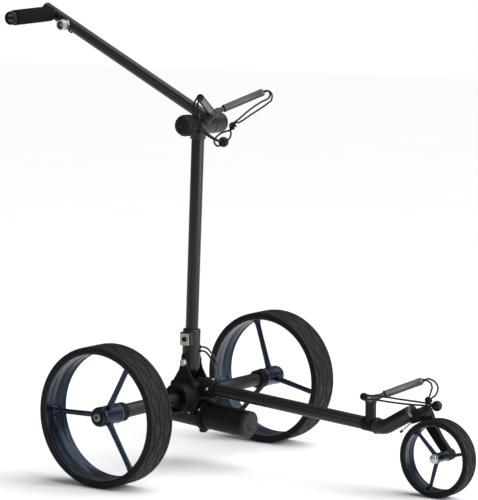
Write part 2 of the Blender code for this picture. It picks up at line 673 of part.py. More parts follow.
def build_upper_rest(parent):
    hinge = at(*HINGE)
    root = at(*UPPER_ROOT)
    out = (root - hinge).normalized()
    length = (root - hinge).length
    reach = HINGE_RADIUS + GAP
    stem = [(0.0, reach - 0.004), (0.0122, reach - 0.004), (0.0122, reach + 0.0040),
            (0.0098, reach + 0.0105), (0.0098, length + 0.0010), (0.0075, length + 0.0070),
            (0.0, length + 0.0092)]
    barrel = rod(hinge - Vector((0, 0.06, 0)), hinge + Vector((0, 0.06, 0)), reach, 36)
    hub = carve(lathe(stem, hinge, out, 20, False), (), (barrel,))
    build_rest("upper", UPPER_ROOT, UPPER_TIP, hub, parent)


def add_ball(name, centre, parent=None):
    bm = bmesh.new()
    bmesh.ops.create_uvsphere(bm, u_segments=14, v_segments=8, radius=BALL_RADIUS)
    bmesh.ops.translate(bm, vec=centre, verts=bm.verts)
    add_piece(name, bm, "ball", centre, parent)


def add_knot(name, centre, axis, parent=None):
    """A fat ring that both strands pass through."""
    inner = STRAP_DIAMETER + 0.0011
    outer = inner + 0.0032
    ring = [(inner, -0.0050), (inner, 0.0050), (inner + 0.0016, 0.0062), (outer, 0.0035),
            (outer, -0.0035), (inner + 0.0016, -0.0062)]
    add_piece(name, lathe(ring, centre, axis, 14, True), "cord", centre, parent)


def side_of(along):
    """A unit vector square to an arm, as near fore and aft as it can be."""
    forward = Vector((1.0, 0.0, 0.0))
    return (forward - along * forward.dot(along)).normalized()


def build_straps(level, root, tip, parent, near_route, spread, ball, far_routes, eye, knot):
    """Near side: two strands to a ball. Far side: one loop through a knot, hooked behind the ball."""
    start, end, along = arm_points(root, tip, -1.0)
    ball_centre = at(*ball)
    arrive = (ball_centre - at(*near_route[-1])).normalized()
    stop = ball_centre - arrive * (BALL_RADIUS + GAP)
    pitch = STRAP_DIAMETER / 2.0 + 0.00025
    beside = side_of(along) if level == "upper" else along.cross(side_of(along))
    last_side = Vector(spread[1]).normalized()
    last_side = (last_side - arrive * last_side.dot(arrive)).normalized()
    if beside.dot(last_side) < 0.0:
        beside = -beside
    for label, sign in (("a", -1.0), ("b", 1.0)):
        route = [end - along * 0.0150, end - along * 0.004, end + along * 0.004]
        route = [point + beside * (sign * pitch) for point in route]
        count = len(near_route)
        for i, place in enumerate(near_route):
            share = (i + 1.0) / (count + 1.0)
            side = beside.lerp(last_side, share).normalized()
            extra = spread[0] * math.sin(math.pi * share)
            route.append(at(*place) + side * (sign * (pitch + extra)))
        route.append(stop + last_side * (sign * pitch) - arrive * 0.0005)
        add_cord(level + "_right_strap_" + label, route, STRAP_DIAMETER, parent)
    add_ball(level + "_strap_ball", ball_centre, parent)

    start, end, along = arm_points(root, tip, 1.0)
    beside = side_of(along) if level == "upper" else along.cross(side_of(along))
    centre = at(*knot[0])
    axis = Vector(knot[1]).normalized()
    across = Vector(knot[2])
    across = (across - axis * across.dot(axis)).normalized()
    route = []
    for offset in (-0.0150, -0.004, 0.004):
        route.append(end + along * offset - beside * pitch)
    route += [at(*place) for place in far_routes[0]]
    passage = (-0.0100, -0.0050, 0.0, 0.0050, 0.0100)
    route += [centre + axis * step - across * pitch for step in passage]
    route += [at(*place) for place in eye]
    route += [centre - axis * step + across * pitch for step in passage]
    route += [at(*place) for place in reversed(far_routes[1])]
    for offset in (0.004, -0.004, -0.0150):
        route.append(end + along * offset + beside * pitch)
    add_cord(level + "_left_strap_loop", route, STRAP_DIAMETER, parent)
    add_knot(level + "_strap_knot", centre, axis, parent)


def build_upper_straps(parent):
    near = [(0.1125, -0.1262, 0.8135), (0.1130, -0.1355, 0.8040), (0.1135, -0.1395, 0.7850),
            (0.1145, -0.1355, 0.7660), (0.1160, -0.1215, 0.7480), (0.1180, -0.1010, 0.7345),
            (0.1195, -0.0680, 0.7205)]
    inner = [(0.1130, 0.1262, 0.8170), (0.1145, 0.1352, 0.8120), (0.1150, 0.1330, 0.8030),
             (0.1165, 0.0943, 0.7925), (0.1180, 0.0524, 0.7790), (0.1190, 0.0090, 0.7608)]
    outer = [(0.1165, 0.1268, 0.8165), (0.1185, 0.1372, 0.8085), (0.1190, 0.1355, 0.7975),
             (0.1195, 0.1190, 0.7895), (0.1205, 0.0548, 0.7690), (0.1215, 0.0090, 0.7548)]
    eye = [(0.1310, -0.0350, 0.7330), (0.1370, -0.0500, 0.7240), (0.1330, -0.0655, 0.7150),
           (0.1215, -0.0705, 0.7090), (0.1110, -0.0680, 0.7165), (0.1065, -0.0560, 0.7255),
           (0.1090, -0.0380, 0.7345)]
    build_straps("upper", UPPER_ROOT, UPPER_TIP, parent, near, (0.0024, (1.0, 0.0, 0.0)),
                 (0.1200, -0.0471, 0.7161), (inner, outer), eye,
                 ((0.1200, -0.0120, 0.7482), (0.0, -0.74, -0.67), (1.0, 0.0, 0.0)))


def build_lower_straps():
    near = [(0.5275, -0.1250, 0.2180), (0.5370, -0.1270, 0.2180), (0.5455, -0.1150, 0.2165),
            (0.5560, -0.0940, 0.2120), (0.5715, -0.0680, 0.2055), (0.5865, -0.0390, 0.1992),
            (0.5985, -0.0175, 0.1950)]
    inner = [(0.5265, 0.1250, 0.2165), (0.5330, 0.1285, 0.2120), (0.5450, 0.1160, 0.2060),
             (0.5570, 0.0920, 0.2010), (0.5715, 0.0620, 0.1965), (0.5815, 0.0380, 0.1955)]
    outer = [(0.5275, 0.1265, 0.2200), (0.5385, 0.1320, 0.2165), (0.5540, 0.1230, 0.2090),
             (0.5680, 0.1010, 0.2035), (0.5810, 0.0700, 0.1985), (0.5875, 0.0420, 0.1965)]
    eye = [(0.6030, 0.0075, 0.1985), (0.6125, -0.0045, 0.1985), (0.6160, -0.0110, 0.1905),
           (0.6080, -0.0050, 0.1820), (0.5995, 0.0015, 0.1850), (0.5965, 0.0075, 0.1900)]
    build_straps("lower", LOWER_ROOT, LOWER_TIP, None, near, (0.0022, (0.0, 0.0, 1.0)),
                 (0.6200, 0.0111, 0.1883), (inner, outer), eye,
                 ((0.5930, 0.0215, 0.1950), (0.45, -0.88, -0.08), (0.75, 0.35, 0.55)))


# ---------------------------------------------------------------- upright, handle and controls
def build_upright(body):
    foot = at(UPRIGHT_FOOT[0], 0.0, UPRIGHT_FOOT[1])
    head = at(UPRIGHT_HEAD[0], 0.0, UPRIGHT_HEAD[1])
    up = (head - foot).normalized()

    def level(z):
        return foot + up * ((z - UPRIGHT_FOOT[1]) / up.z)

    across = Vector((0.0, 1.0, 0.0))
    pivot = at(*PIVOT)
    base = level(0.1950)
    top = (level(0.2975) - base).length
    profile = [(0.0, 0.0)]
    for i in range(1, 5):
        angle = math.radians(22.5 * i)
        profile.append((SLEEVE_RADIUS * math.sin(angle), SLEEVE_RADIUS * (1.0 - math.cos(angle))))
    profile += [(SLEEVE_RADIUS, top - 0.0020), (SLEEVE_RADIUS - 0.0020, top), (0.0, top)]
    sleeve = lathe(profile, base, up, 28, False)
    boss = rounded_box((-0.0145, -0.0243, 0.2620), (0.0145, -0.0100, 0.2920), 0.0015, 1)
    cuts = [rod(level(0.2622), level(0.320), UPRIGHT_RADIUS + GAP, 24),
            rod(pivot - across * 0.03, pivot + across * 0.03, 0.0043, 14),
            rod(at(0.0, -0.0185, 0.2770), at(0.0, -0.0300, 0.2770), 0.0056, 16)]
    exit_way = Vector((0.817, 0.577, 0.0))
    for z in (0.2570, 0.2480):
        hole = level(z) + exit_way * 0.0120
        cuts.append(rod(hole, hole + exit_way * 0.02, LEAD_DIAMETER / 2.0 + 0.0010, 10))
    add_piece("upright_sleeve", carve(sleeve, (boss,), cuts), "satin_black", pivot, body)
    add_piece("upright_tube", rod(level(0.2628), level(0.7390), UPRIGHT_RADIUS, 24), "satin_black",
              pivot, body)

    plate = rounded_box((-0.0120, -0.0276, 0.2635), (0.0120, -0.0246, 0.2905), 0.0008, 1)
    hole = rod(at(0.0, -0.0200, 0.2770), at(0.0, -0.0300, 0.2770), 0.0056, 16)
    add_piece("latch_plate", carve(plate, (), (hole,)), "gold_steel", at(0.0, -0.026, 0.277), body)
    press = joint_empty("latch_button_axis", at(0.0, -0.0276, 0.2770), body)
    button = [(0.0, 0.0), (0.0053, 0.0), (0.0053, 0.0080), (0.0044, 0.0092), (0.0, 0.0094)]
    add_piece("latch_button", lathe(button, at(0.0, -0.0220, 0.2770), -across, 16, False), "cast_black",
              at(0.0, -0.0276, 0.2770), press)

    hinge = at(*HINGE)
    barrel = [(0.0, -0.0175), (HINGE_RADIUS - 0.0020, -0.0175), (HINGE_RADIUS, -0.0155),
              (HINGE_RADIUS, 0.0385), (HINGE_RADIUS - 0.0008, 0.0395), (0.0, 0.0395)]
    cuts = [rod(level(0.700), level(0.7394), UPRIGHT_RADIUS + GAP, 24),
            rod(hinge - across * 0.06, hinge + across * 0.06, HINGE_BOLT_RADIUS + GAP, 16)]
    skirt = rod(level(0.7150), level(0.7420), 0.0172, 24)
    add_piece("hinge_barrel", carve(lathe(barrel, hinge, across, 32, False), (skirt,), cuts),
              "satin_black", hinge, body)


def build_knob(body):
    across = Vector((0.0, 1.0, 0.0))
    hinge = at(*HINGE)
    turn = joint_empty("hinge_knob_axis", hinge + Vector((0.0, -0.040, 0.0)), body)
    profile = [(0.0, 0.0180), (0.0155, 0.0180), (0.0185, 0.0250), (0.0226, 0.0310),
               (0.0230, 0.0530), (0.0200, 0.0605), (0.0130, 0.0638), (0.0, 0.0645)]
    shaft = rod(hinge - across * 0.0210, hinge + across * 0.0770, HINGE_BOLT_RADIUS, 16)
    add_piece("hinge_knob", carve(lathe(profile, hinge, -across, 28, False), (shaft,)), "ball",
              hinge + Vector((0.0, -0.040, 0.0)), turn)


def build_handle(body):
    across = Vector((0.0, 1.0, 0.0))
    hinge = at(*HINGE)
    axis_point = at(HINGE[0], HANDLE_Y, HINGE[2])
    corner = at(*HANDLE_CORNER)
    along = (corner - axis_point).normalized()
    barrel = [(0.0, 0.0398), (HINGE_RADIUS - 0.0008, 0.0398), (HINGE_RADIUS, 0.0408),
              (HINGE_RADIUS, 0.0795), (HINGE_RADIUS - 0.0030, 0.0825), (0.0, 0.0825)]
    skirt = rod(axis_point + along * 0.010, axis_point + along * 0.0300, 0.0158, 24)
    cuts = [rod(axis_point + along * 0.0096, axis_point + along * 0.060, HANDLE_RADIUS + GAP, 24),
            rod(hinge, hinge + across * 0.0776, HINGE_BOLT_RADIUS + GAP, 16)]
    add_piece("handle_barrel", carve(lathe(barrel, hinge, across, 32, False), (skirt,), cuts),
              "satin_black", hinge, body)

    drop = math.radians(GRIP_DROP_DEG)
    grip_axis = Vector((0.0, -math.cos(drop), -math.sin(drop)))
    bar_end = corner + grip_axis * (GRIP_SPAN[1] - 0.004)
    tube_end = corner + along * HANDLE_BEYOND_GRIP
    stem = rod(axis_point + along * 0.0100, tube_end, HANDLE_RADIUS, 24)
    branch = rod(corner, bar_end, HANDLE_RADIUS - 0.0002, 24)
    add_piece("handle_tube", carve(stem, (branch,)), "satin_black", hinge, body)
    inner = HANDLE_RADIUS + GAP
    grip = [(inner, GRIP_SPAN[0]), (GRIP_RADIUS - 0.0015, GRIP_SPAN[0]), (GRIP_RADIUS, GRIP_SPAN[0] + 0.002),
            (GRIP_RADIUS, GRIP_SPAN[1] - 0.0015), (GRIP_RADIUS - 0.0012, GRIP_SPAN[1]), (inner, GRIP_SPAN[1])]
    add_piece("grip", lathe(grip, corner, grip_axis, 20, True), "foam", corner, body)

    place = corner + grip_axis * (GRIP_SPAN[1] + 0.007)
    turn = joint_empty("speed_dial_axis", place, body)
    start = GRIP_SPAN[1] + GAP
    dial = [(0.0, start), (0.0152, start), (0.0152, start + DIAL_LENGTH - 0.0015),
            (0.0140, start + DIAL_LENGTH), (0.0108, start + DIAL_LENGTH),
            (0.0106, start + DIAL_LENGTH - 0.0022), (0.0, start + DIAL_LENGTH - 0.0022)]
    add_piece("speed_dial", lathe(dial, corner, grip_axis, 24, False), "cast_black", place, turn)

    mount = at(-0.384, HANDLE_Y, 0.9549)
    holder = [(0.0, 0.0), (0.0120, 0.0), (0.0120, 0.0350), (0.0112, 0.0360),
              (0.0084, 0.0360), (0.0084, 0.0200), (0.0, 0.0200)]
    clear = rod(mount - along * 0.06, mount + along * 0.06, HANDLE_RADIUS + GAP, 24)
    half = rounded_box((mount.x + FRAME_SHIFT_X - 0.04, HANDLE_Y, mount.z - 0.04),
                       (mount.x + FRAME_SHIFT_X + 0.04, HANDLE_Y + 0.05, mount.z + 0.04), 0.0005, 1)
    add_piece("accessory_socket", carve(lathe(holder, mount, grip_axis, 24, False), (), (clear, half)),
              "steel", mount, body)


def build_motor_leads(body):
    """Two leads from the upright's sleeve, round its front, into the casting's nose."""
    foot = at(UPRIGHT_FOOT[0], 0.0, UPRIGHT_FOOT[1])
    head = at(UPRIGHT_HEAD[0], 0.0, UPRIGHT_HEAD[1])
    up = (head - foot).normalized()
    exit_way = Vector((0.817, 0.577, 0.0))
    routes = {
        "motor_lead_front": (0.2570, [(0.0268, 0.0188, 0.2545), (0.0370, 0.0225, 0.2440),
                                      (0.0490, 0.0230, 0.2265), (0.0575, 0.0215, 0.2080),
                                      (0.0600, 0.0160, 0.1955)], 0.0600),
        "motor_lead_rear": (0.2480, [(0.0250, 0.0178, 0.2455), (0.0335, 0.0208, 0.2360),
                                     (0.0430, 0.0205, 0.2200), (0.0500, 0.0190, 0.2050),
                                     (0.0528, 0.0150, 0.1955)], 0.0530),
    }
    for name, (z, places, last_x) in routes.items():
        centre = foot + up * ((z - UPRIGHT_FOOT[1]) / up.z)
        route = [centre + exit_way * 0.0124, centre + exit_way * 0.0175, centre + exit_way * 0.0225]
        route += [at(*place) for place in places]
        route += [at(last_x, 0.0116, 0.1900), at(last_x, 0.0115, 0.1860), at(last_x, 0.0115, 0.1822)]
        add_cord(name, route, LEAD_DIAMETER, body)


def main():
    for old in list(bpy.data.objects):
        bpy.data.objects.remove(old)
    upright = joint_empty("upright_axis", at(*PIVOT))
    handle = joint_empty("handle_axis", at(*HINGE), upright)
    build_casting()
    build_axles()
    build_front_boom()
    build_fork()
    build_battery()
    build_frame_screws()
    build_pivot_bolt()
    build_rear_wheel("right")
    build_rear_wheel("left")
    build_front_wheel()
    build_lower_rest()
    build_lower_straps()
    build_upright(upright)
    build_knob(upright)
    build_upper_rest(upright)
    build_upper_straps(upright)
    build_handle(handle)
    build_motor_leads(upright)


main()
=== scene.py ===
"""Looks of a three-wheel electric golf trolley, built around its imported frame.

Places are metres in the frame's own axes: +X forward, +Y left, +Z up, ground at z = 0.
Helpers take x from the rear axle.
"""
import math

import bmesh
import bpy
from mathutils import Matrix, Vector


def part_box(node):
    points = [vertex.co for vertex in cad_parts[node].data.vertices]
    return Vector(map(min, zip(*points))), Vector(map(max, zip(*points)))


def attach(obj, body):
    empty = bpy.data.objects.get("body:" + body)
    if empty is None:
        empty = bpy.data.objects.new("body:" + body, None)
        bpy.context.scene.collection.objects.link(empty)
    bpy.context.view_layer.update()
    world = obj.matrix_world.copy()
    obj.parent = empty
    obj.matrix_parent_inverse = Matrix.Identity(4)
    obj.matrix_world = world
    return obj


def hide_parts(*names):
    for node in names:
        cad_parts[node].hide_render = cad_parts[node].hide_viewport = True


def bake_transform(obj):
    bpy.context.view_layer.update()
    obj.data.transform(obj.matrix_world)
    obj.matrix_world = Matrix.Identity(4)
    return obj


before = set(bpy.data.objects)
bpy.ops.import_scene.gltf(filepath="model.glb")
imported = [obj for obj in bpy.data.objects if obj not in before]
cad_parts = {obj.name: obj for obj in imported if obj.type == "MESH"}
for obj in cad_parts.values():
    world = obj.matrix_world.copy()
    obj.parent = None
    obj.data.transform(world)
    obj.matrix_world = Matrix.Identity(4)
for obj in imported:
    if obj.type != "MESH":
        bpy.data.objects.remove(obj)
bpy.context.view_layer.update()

bl_info = {
    "name": "Golf trolley looks",
    "version": (1, 0, 0),
    "blender": (4, 5, 0),
    "location": "3D Viewport > Sidebar > Trolley",
    "description": "Builds the visible surface of an electric golf trolley",
    "category": "Add Mesh",
}

ACROSS = Vector((0.0, 1.0, 0.0))
UP = Vector((0.0, 0.0, 1.0))



def middle_and_half(node):
    """A node's middle and half sizes at rest, to a hundredth of a millimetre."""
    low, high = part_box(node)
    middle = [round((a + b) / 2.0, 5) for a, b in zip(low, high)]
    half = [round((b - a) / 2.0, 5) for a, b in zip(low, high)]
    return middle, half


(AXLE_X, REAR_Y, AXLE_Z), (REAR_RADIUS, REAR_HALF, _) = middle_and_half("left_tyre")
(FRONT_AXLE_X, FRONT_Y, _), (FRONT_RADIUS, FRONT_HALF, _) = middle_and_half("front_tyre")
FRONT_X = round(FRONT_AXLE_X - AXLE_X, 5)
REAR_SPOKES = {"right": (61.0, 181.0, -59.0), "left": (107.0, -13.0, -133.0)}
HUB_RADIUS = 0.021
HUB_INNER = 0.2655
HUB_OUTER = 0.3345
FRONT_SCALE = 0.62
FRONT_SPOKES = (135.0, 14.0, -105.0)
TUBE_Z0 = 0.1739
TUBE_SLOPE = -0.0836
TUBE_WAY = Vector((1.0, 0.0, TUBE_SLOPE)).normalized()
NECK_START_X = 0.4785
NECK_BEND_X = 0.501
NECK_END_X = 0.572
LOWER_REST_X = 0.4656
BATTERY_NOSE = (0.158, 0.0, 0.100)
BATTERY_RADIUS = 0.0295
BATTERY_LENGTH = 0.222
BATTERY_CAP = 0.0090
HINGE = (0.0195, 0.0, 0.747)
HINGE_RADIUS = 0.0225
CORNER = (-0.4297, 0.060, 0.9787)
BEYOND_GRIP = 0.0290
GRIP_SPAN = (0.0140, 0.1435)
UPRIGHT_FOOT = (0.0006, 0.295)
UPRIGHT_HEAD = (0.0195, 0.747)
PIVOT = (-0.0023, 0.0, 0.2255)
ARMS = {
    "upper": ((0.0575, 0.0, 0.7722), (0.109, 0.117, 0.8143), 0.0290, "upright"),
    "lower": ((LOWER_REST_X, 0.0, 0.1875), (0.5206, 0.1147, 0.2162), 0.0335, "frame"),
}
CORD = 0.0040
LEAD = 0.0044
BALL = 0.0112


# ---------------------------------------------------------------- settings
def length_setting(name, description, default):
    return bpy.props.FloatProperty(name=name, description=description, default=default,
                                   min=0.0, unit="LENGTH", precision=5)


def colour_setting(name, description, default):
    return bpy.props.FloatVectorProperty(name=name, description=description, default=default,
                                         size=3, min=0.0, max=1.0, subtype="COLOR")


class TrolleySizes(bpy.types.PropertyGroup):
    """Sizes of the fine shapes."""
    groove_depth: length_setting("Tread groove depth", "Depth of the tyres' wavy grooves", 0.0016)
    groove_sway: length_setting("Tread groove sway", "How far a groove swings to each side", 0.0034)
    rim_groove: length_setting("Rim groove", "Depth of the line round the middle of each rim", 0.0008)
    edge_round: length_setting("Edge rounding", "Rounding on the edges of turned pieces", 0.0006)
    rib_width: length_setting("Rib width", "Half width of the knob's ribs", 0.0011)
    knurl_width: length_setting("Knurl width", "Half width of the socket's knurls", 0.00055)
    waves: bpy.props.IntProperty(name="Tread waves", description="Waves round a rear tyre",
                                 default=16, min=3, max=60)
    knob_ribs: bpy.props.IntProperty(name="Knob ribs", description="Ribs round the hinge knob",
                                     default=40, min=8, max=90)
    knurls: bpy.props.IntProperty(name="Socket knurls", description="Ridges round the accessory socket",
                                  default=36, min=8, max=90)


class TrolleyColours(bpy.types.PropertyGroup):
    """Colours of the finishes."""
    frame_black: colour_setting("Frame black", "Satin black of the tubes", (0.0046, 0.0044, 0.0058))
    cast_black: colour_setting("Casting black", "Matte black of the castings", (0.0040, 0.0040, 0.0044))
    wheel_blue: colour_setting("Wheel blue", "Anodised blue of rims and spokes", (0.017, 0.029, 0.050))
    tyre_black: colour_setting("Tyre black", "Rubber of the tyres", (0.0034, 0.0038, 0.0034))
    sleeve_black: colour_setting("Sleeve black", "Rubber of the arm sleeves", (0.0050, 0.0052, 0.0046))
    foam: colour_setting("Grip foam", "Foam of the grip", (0.0048, 0.0038, 0.0030))
    steel: colour_setting("Steel", "Screws, bolts and the accessory socket", (0.50, 0.49, 0.46))
    plate: colour_setting("Latch plate", "Warm brushed steel of the latch plate", (0.36, 0.34, 0.28))
    cap_grey: colour_setting("Cap grey", "Grey plastic of the battery's cap", (0.020, 0.0205, 0.0225))
    cord: colour_setting("Cord black", "Elastic cords and leads", (0.0036, 0.0034, 0.0034))


# ---------------------------------------------------------------- finishes
class Value:
    """A number that varies over a surface: a node socket that can be used in sums."""

    def __init__(self, tree, socket):
        self.tree = tree
        self.socket = socket

    def maths(self, operation, *items):
        node = self.tree.nodes.new("ShaderNodeMath")
        node.operation = operation
        for place, item in zip(node.inputs, items):
            if isinstance(item, Value):
                self.tree.links.new(item.socket, place)
            else:
                place.default_value = item
        return Value(self.tree, node.outputs[0])

    def __add__(self, other):
        return self.maths("ADD", self, other)

    def __radd__(self, other):
        return self.maths("ADD", other, self)

    def __sub__(self, other):
        return self.maths("SUBTRACT", self, other)

    def __rsub__(self, other):
        return self.maths("SUBTRACT", other, self)

    def __mul__(self, other):
        return self.maths("MULTIPLY", self, other)

    def __rmul__(self, other):
        return self.maths("MULTIPLY", other, self)

    def __truediv__(self, other):
        return self.maths("DIVIDE", self, other)

    def __pow__(self, other):
        return self.maths("POWER", self, other)

    def sine(self):
        return self.maths("SINE", self)

    def absolute(self):
        return self.maths("ABSOLUTE", self)

    def largest(self, other):
        return self.maths("MAXIMUM", self, other)

    def step(self, low, high):
        """0 below low, 1 above high, smooth between."""
        node = self.tree.nodes.new("ShaderNodeMapRange")
        node.interpolation_type = "SMOOTHSTEP"
        node.inputs["From Min"].default_value = low
        node.inputs["From Max"].default_value = high
        self.tree.links.new(self.socket, node.inputs["Value"])
        return Value(self.tree, node.outputs["Result"])


class Finish:
    """One node material under construction."""

    def __init__(self, name, roughness, metallic, **constants):
        self.material = bpy.data.materials.new(name)
        self.material.use_nodes = True
        self.tree = self.material.node_tree
        self.shader = self.tree.nodes["Principled BSDF"]
        self.shader.inputs["Roughness"].default_value = roughness
        self.shader.inputs["Metallic"].default_value = metallic
        for socket, value in constants.items():
            self.shader.inputs[socket.replace("_", " ")].default_value = value
        self.place = self.add("ShaderNodeTexCoord").outputs["Object"]

    def add(self, kind, settings=(), **inputs):
        """Any node: its settings first, then the values or links of its sockets."""
        node = self.tree.nodes.new(kind)
        for key, value in dict(settings).items():
            setattr(node, key, value)
        for key, value in inputs.items():
            socket = node.inputs[key.replace("_", " ")]
            if isinstance(value, Value):
                self.tree.links.new(value.socket, socket)
            elif isinstance(value, bpy.types.NodeSocket):
                self.tree.links.new(value, socket)
            else:
                socket.default_value = value
        return node

    def value(self, socket):
        return Value(self.tree, socket)

    def moved(self, centre, stretch=(1.0, 1.0, 1.0)):
        """Object coordinates about a centre, stretched."""
        shift = self.add("ShaderNodeVectorMath", {"operation": "SUBTRACT"})
        self.tree.links.new(self.place, shift.inputs[0])
        shift.inputs[1].default_value = centre
        node = self.add("ShaderNodeMapping", Vector=shift.outputs[0], Scale=stretch)
        return node.outputs["Vector"]

    def parts(self, vector):
        node = self.add("ShaderNodeSeparateXYZ", Vector=vector)
        return [self.value(node.outputs[axis]) for axis in "XYZ"]

    def noise(self, scale, detail=3.0, roughness=0.5, vector=None, distortion=0.0):
        node = self.add("ShaderNodeTexNoise", Vector=vector or self.place, Scale=scale, Detail=detail,
                        Roughness=roughness, Distortion=distortion)
        return self.value(node.outputs["Fac"])

    def cells(self, scale):
        node = self.add("ShaderNodeTexVoronoi", Vector=self.place, Scale=scale)
        return self.value(node.outputs["Distance"])

    def mix(self, share, first, second):
        """A colour between two colours, each a tuple or a colour socket."""
        node = self.add("ShaderNodeMix", {"data_type": "RGBA"})
        self.tree.links.new(share.socket, node.inputs[0])
        for place, colour in ((node.inputs[6], first), (node.inputs[7], second)):
            if isinstance(colour, bpy.types.NodeSocket):
                self.tree.links.new(colour, place)
            else:
                place.default_value = (*colour[:3], 1.0)
        return node.outputs[2]

    def colour(self, socket):
        self.tree.links.new(socket, self.shader.inputs["Base Color"])

    def roughness(self, value):
        self.tree.links.new(value.socket, self.shader.inputs["Roughness"])

    def bump(self, height, distance, strength=1.0):
        node = self.add("ShaderNodeBump", Height=height, Distance=distance, Strength=strength)
        self.tree.links.new(node.outputs["Normal"], self.shader.inputs["Normal"])


def scaled(colour, factor):
    return tuple(min(1.0, part * factor) for part in colour)


def satin_black(name, colour):
    made = Finish(name, 0.36, 0.0, Specular_IOR_Level=0.34)
    broad = made.noise(9.0, 2.0)
    grain = made.noise(900.0, 2.0, 0.6)
    wear = made.noise(70.0, 5.0, 0.65).step(0.62, 0.80)
    base = made.mix(broad, scaled(colour, 0.75), scaled(colour, 1.35))
    made.colour(made.mix(wear * 0.35, base, scaled(colour, 2.4)))
    made.roughness(0.31 + broad * 0.10 + grain * 0.06 + wear * 0.05)
    made.bump(grain, 0.00003, 0.5)
    return made.material


def casting_black(name, colour):
    made = Finish(name, 0.55, 0.0, Specular_IOR_Level=0.11)
    peel = made.noise(520.0, 3.0, 0.55)
    patch = made.noise(22.0, 3.0)
    made.colour(made.mix(patch, scaled(colour, 0.8), scaled(colour, 1.5)))
    made.roughness(0.44 + patch * 0.12 + peel * 0.08)
    made.bump(peel, 0.00012, 0.6)
    return made.material


def anodised_blue(name, colour, centre):
    """Fine turned lines round the wheel's axle under a clear dye."""
    made = Finish(name, 0.26, 0.82, Coat_Weight=0.10, Coat_Roughness=0.14, Specular_IOR_Level=0.3)
    x, y, z = made.parts(made.moved(centre))
    radius = (x * x + z * z) ** 0.5
    ring = made.add("ShaderNodeCombineXYZ", X=radius, Y=y, Z=0.0).outputs[0]
    lines = made.noise(1500.0, 2.0, 0.5, ring)
    cloud = made.noise(14.0, 3.0)
    deep = scaled(colour, 0.55)
    made.colour(made.mix(cloud.step(0.30, 0.72), deep, colour))
    made.roughness(0.20 + lines * 0.12 + cloud * 0.06)
    made.bump(lines, 0.00002, 0.35)
    return made.material


def tyre_rubber(name, colour, centre, radius, waves, sway):
    """Rubber with fine lines that wave along the tread, with pale painted highlight streaks along them on the
    tread.
    """
    made = Finish(name, 0.5, 0.0, Specular_IOR_Level=0.19)
    x, y, z = made.parts(made.moved(centre))
    out = (x * x + z * z) ** 0.5
    angle = z.maths("ARCTAN2", z, x)
    tread = out.step(radius - 0.0024, radius - 0.0009)
    swing = (angle * float(waves)).sine() * sway
    lane = made.add("ShaderNodeCombineXYZ", X=x / out * 4.0, Y=(y + swing) * 420.0,
                    Z=z / out * 4.0).outputs[0]
    streak = made.noise(1.0, 4.0, 0.65, lane)
    lines = made.noise(2.6, 2.0, 0.5, lane)
    fine = made.noise(750.0, 3.0, 0.6)
    patch = made.noise(30.0, 4.0, 0.6, distortion=0.8)
    rib = (out * 5200.0).sine().absolute()
    base = made.mix(patch, scaled(colour, 0.7), scaled(colour, 1.4))
    # Painted highlight: pale streaks on the tread stand in for glossy highlights along its lines; they also
    # lower the roughness there.
    painted_streak_highlight = streak.step(0.55, 0.70) * tread
    made.colour(made.mix(painted_streak_highlight, base, scaled(colour, 9.0)))
    made.roughness(0.56 + fine * 0.12 - painted_streak_highlight * 0.26)
    made.bump(fine * 0.3 + rib * (1.0 - tread) * 0.5 + (streak + lines * 0.5) * tread * 2.2, 0.00032, 0.9)
    return made.material


def gloss_rubber(name, colour):
    made = Finish(name, 0.3, 0.0, Specular_IOR_Level=0.6)
    smear = made.noise(60.0, 4.0, 0.6, distortion=1.2)
    fine = made.noise(1100.0, 2.0)
    made.colour(made.mix(smear, colour, scaled(colour, 2.0)))
    made.roughness(0.20 + smear * 0.18)
    made.bump(fine + smear * 0.6, 0.00005, 0.6)
    return made.material


def grip_foam(name, colour):
    made = Finish(name, 0.9, 0.0, Specular_IOR_Level=0.05)
    cells = made.cells(950.0)
    patch = made.noise(45.0, 4.0, 0.6)
    pits = cells.step(0.10, 0.55)
    base = made.mix(patch, scaled(colour, 0.7), scaled(colour, 1.7))
    made.colour(made.mix(pits * 0.7, base, scaled(colour, 2.3)))
    made.roughness(0.84 + patch * 0.10)
    made.bump(pits, 0.00035, 0.8)
    return made.material


def turned_steel(name, colour, roughness=0.24):
    made = Finish(name, roughness, 1.0)
    streaks = made.noise(420.0, 3.0, 0.6, made.moved((0.0, 0.0, 0.0), stretch=(1.0, 7.0, 1.0)))
    stain = made.noise(75.0, 4.0, 0.6)
    made.colour(made.mix(stain.step(0.42, 0.78), colour, scaled(colour, 0.55)))
    made.roughness(roughness - 0.05 + streaks * 0.16 + stain * 0.06)
    made.bump(streaks, 0.00002, 0.5)
    return made.material


def brushed_plate(name, colour):
    made = Finish(name, 0.32, 1.0)
    lines = made.noise(260.0, 4.0, 0.7, made.moved((0.0, 0.0, 0.0), stretch=(12.0, 12.0, 0.6)))
    made.colour(made.mix(lines, scaled(colour, 0.65), scaled(colour, 1.15)))
    made.roughness(0.24 + lines * 0.18)
    made.bump(lines, 0.00003, 0.6)
    return made.material


def moulded_plastic(name, colour, roughness=0.5, grain_size=620.0):
    made = Finish(name, roughness, 0.0, Specular_IOR_Level=0.16)
    grain = made.cells(grain_size)
    patch = made.noise(35.0, 3.0, 0.6)
    made.colour(made.mix(patch, scaled(colour, 0.8), scaled(colour, 1.3)))
    made.roughness(roughness - 0.06 + patch * 0.10 + grain * 0.05)
    made.bump(grain, 0.00010, 0.5)
    return made.material


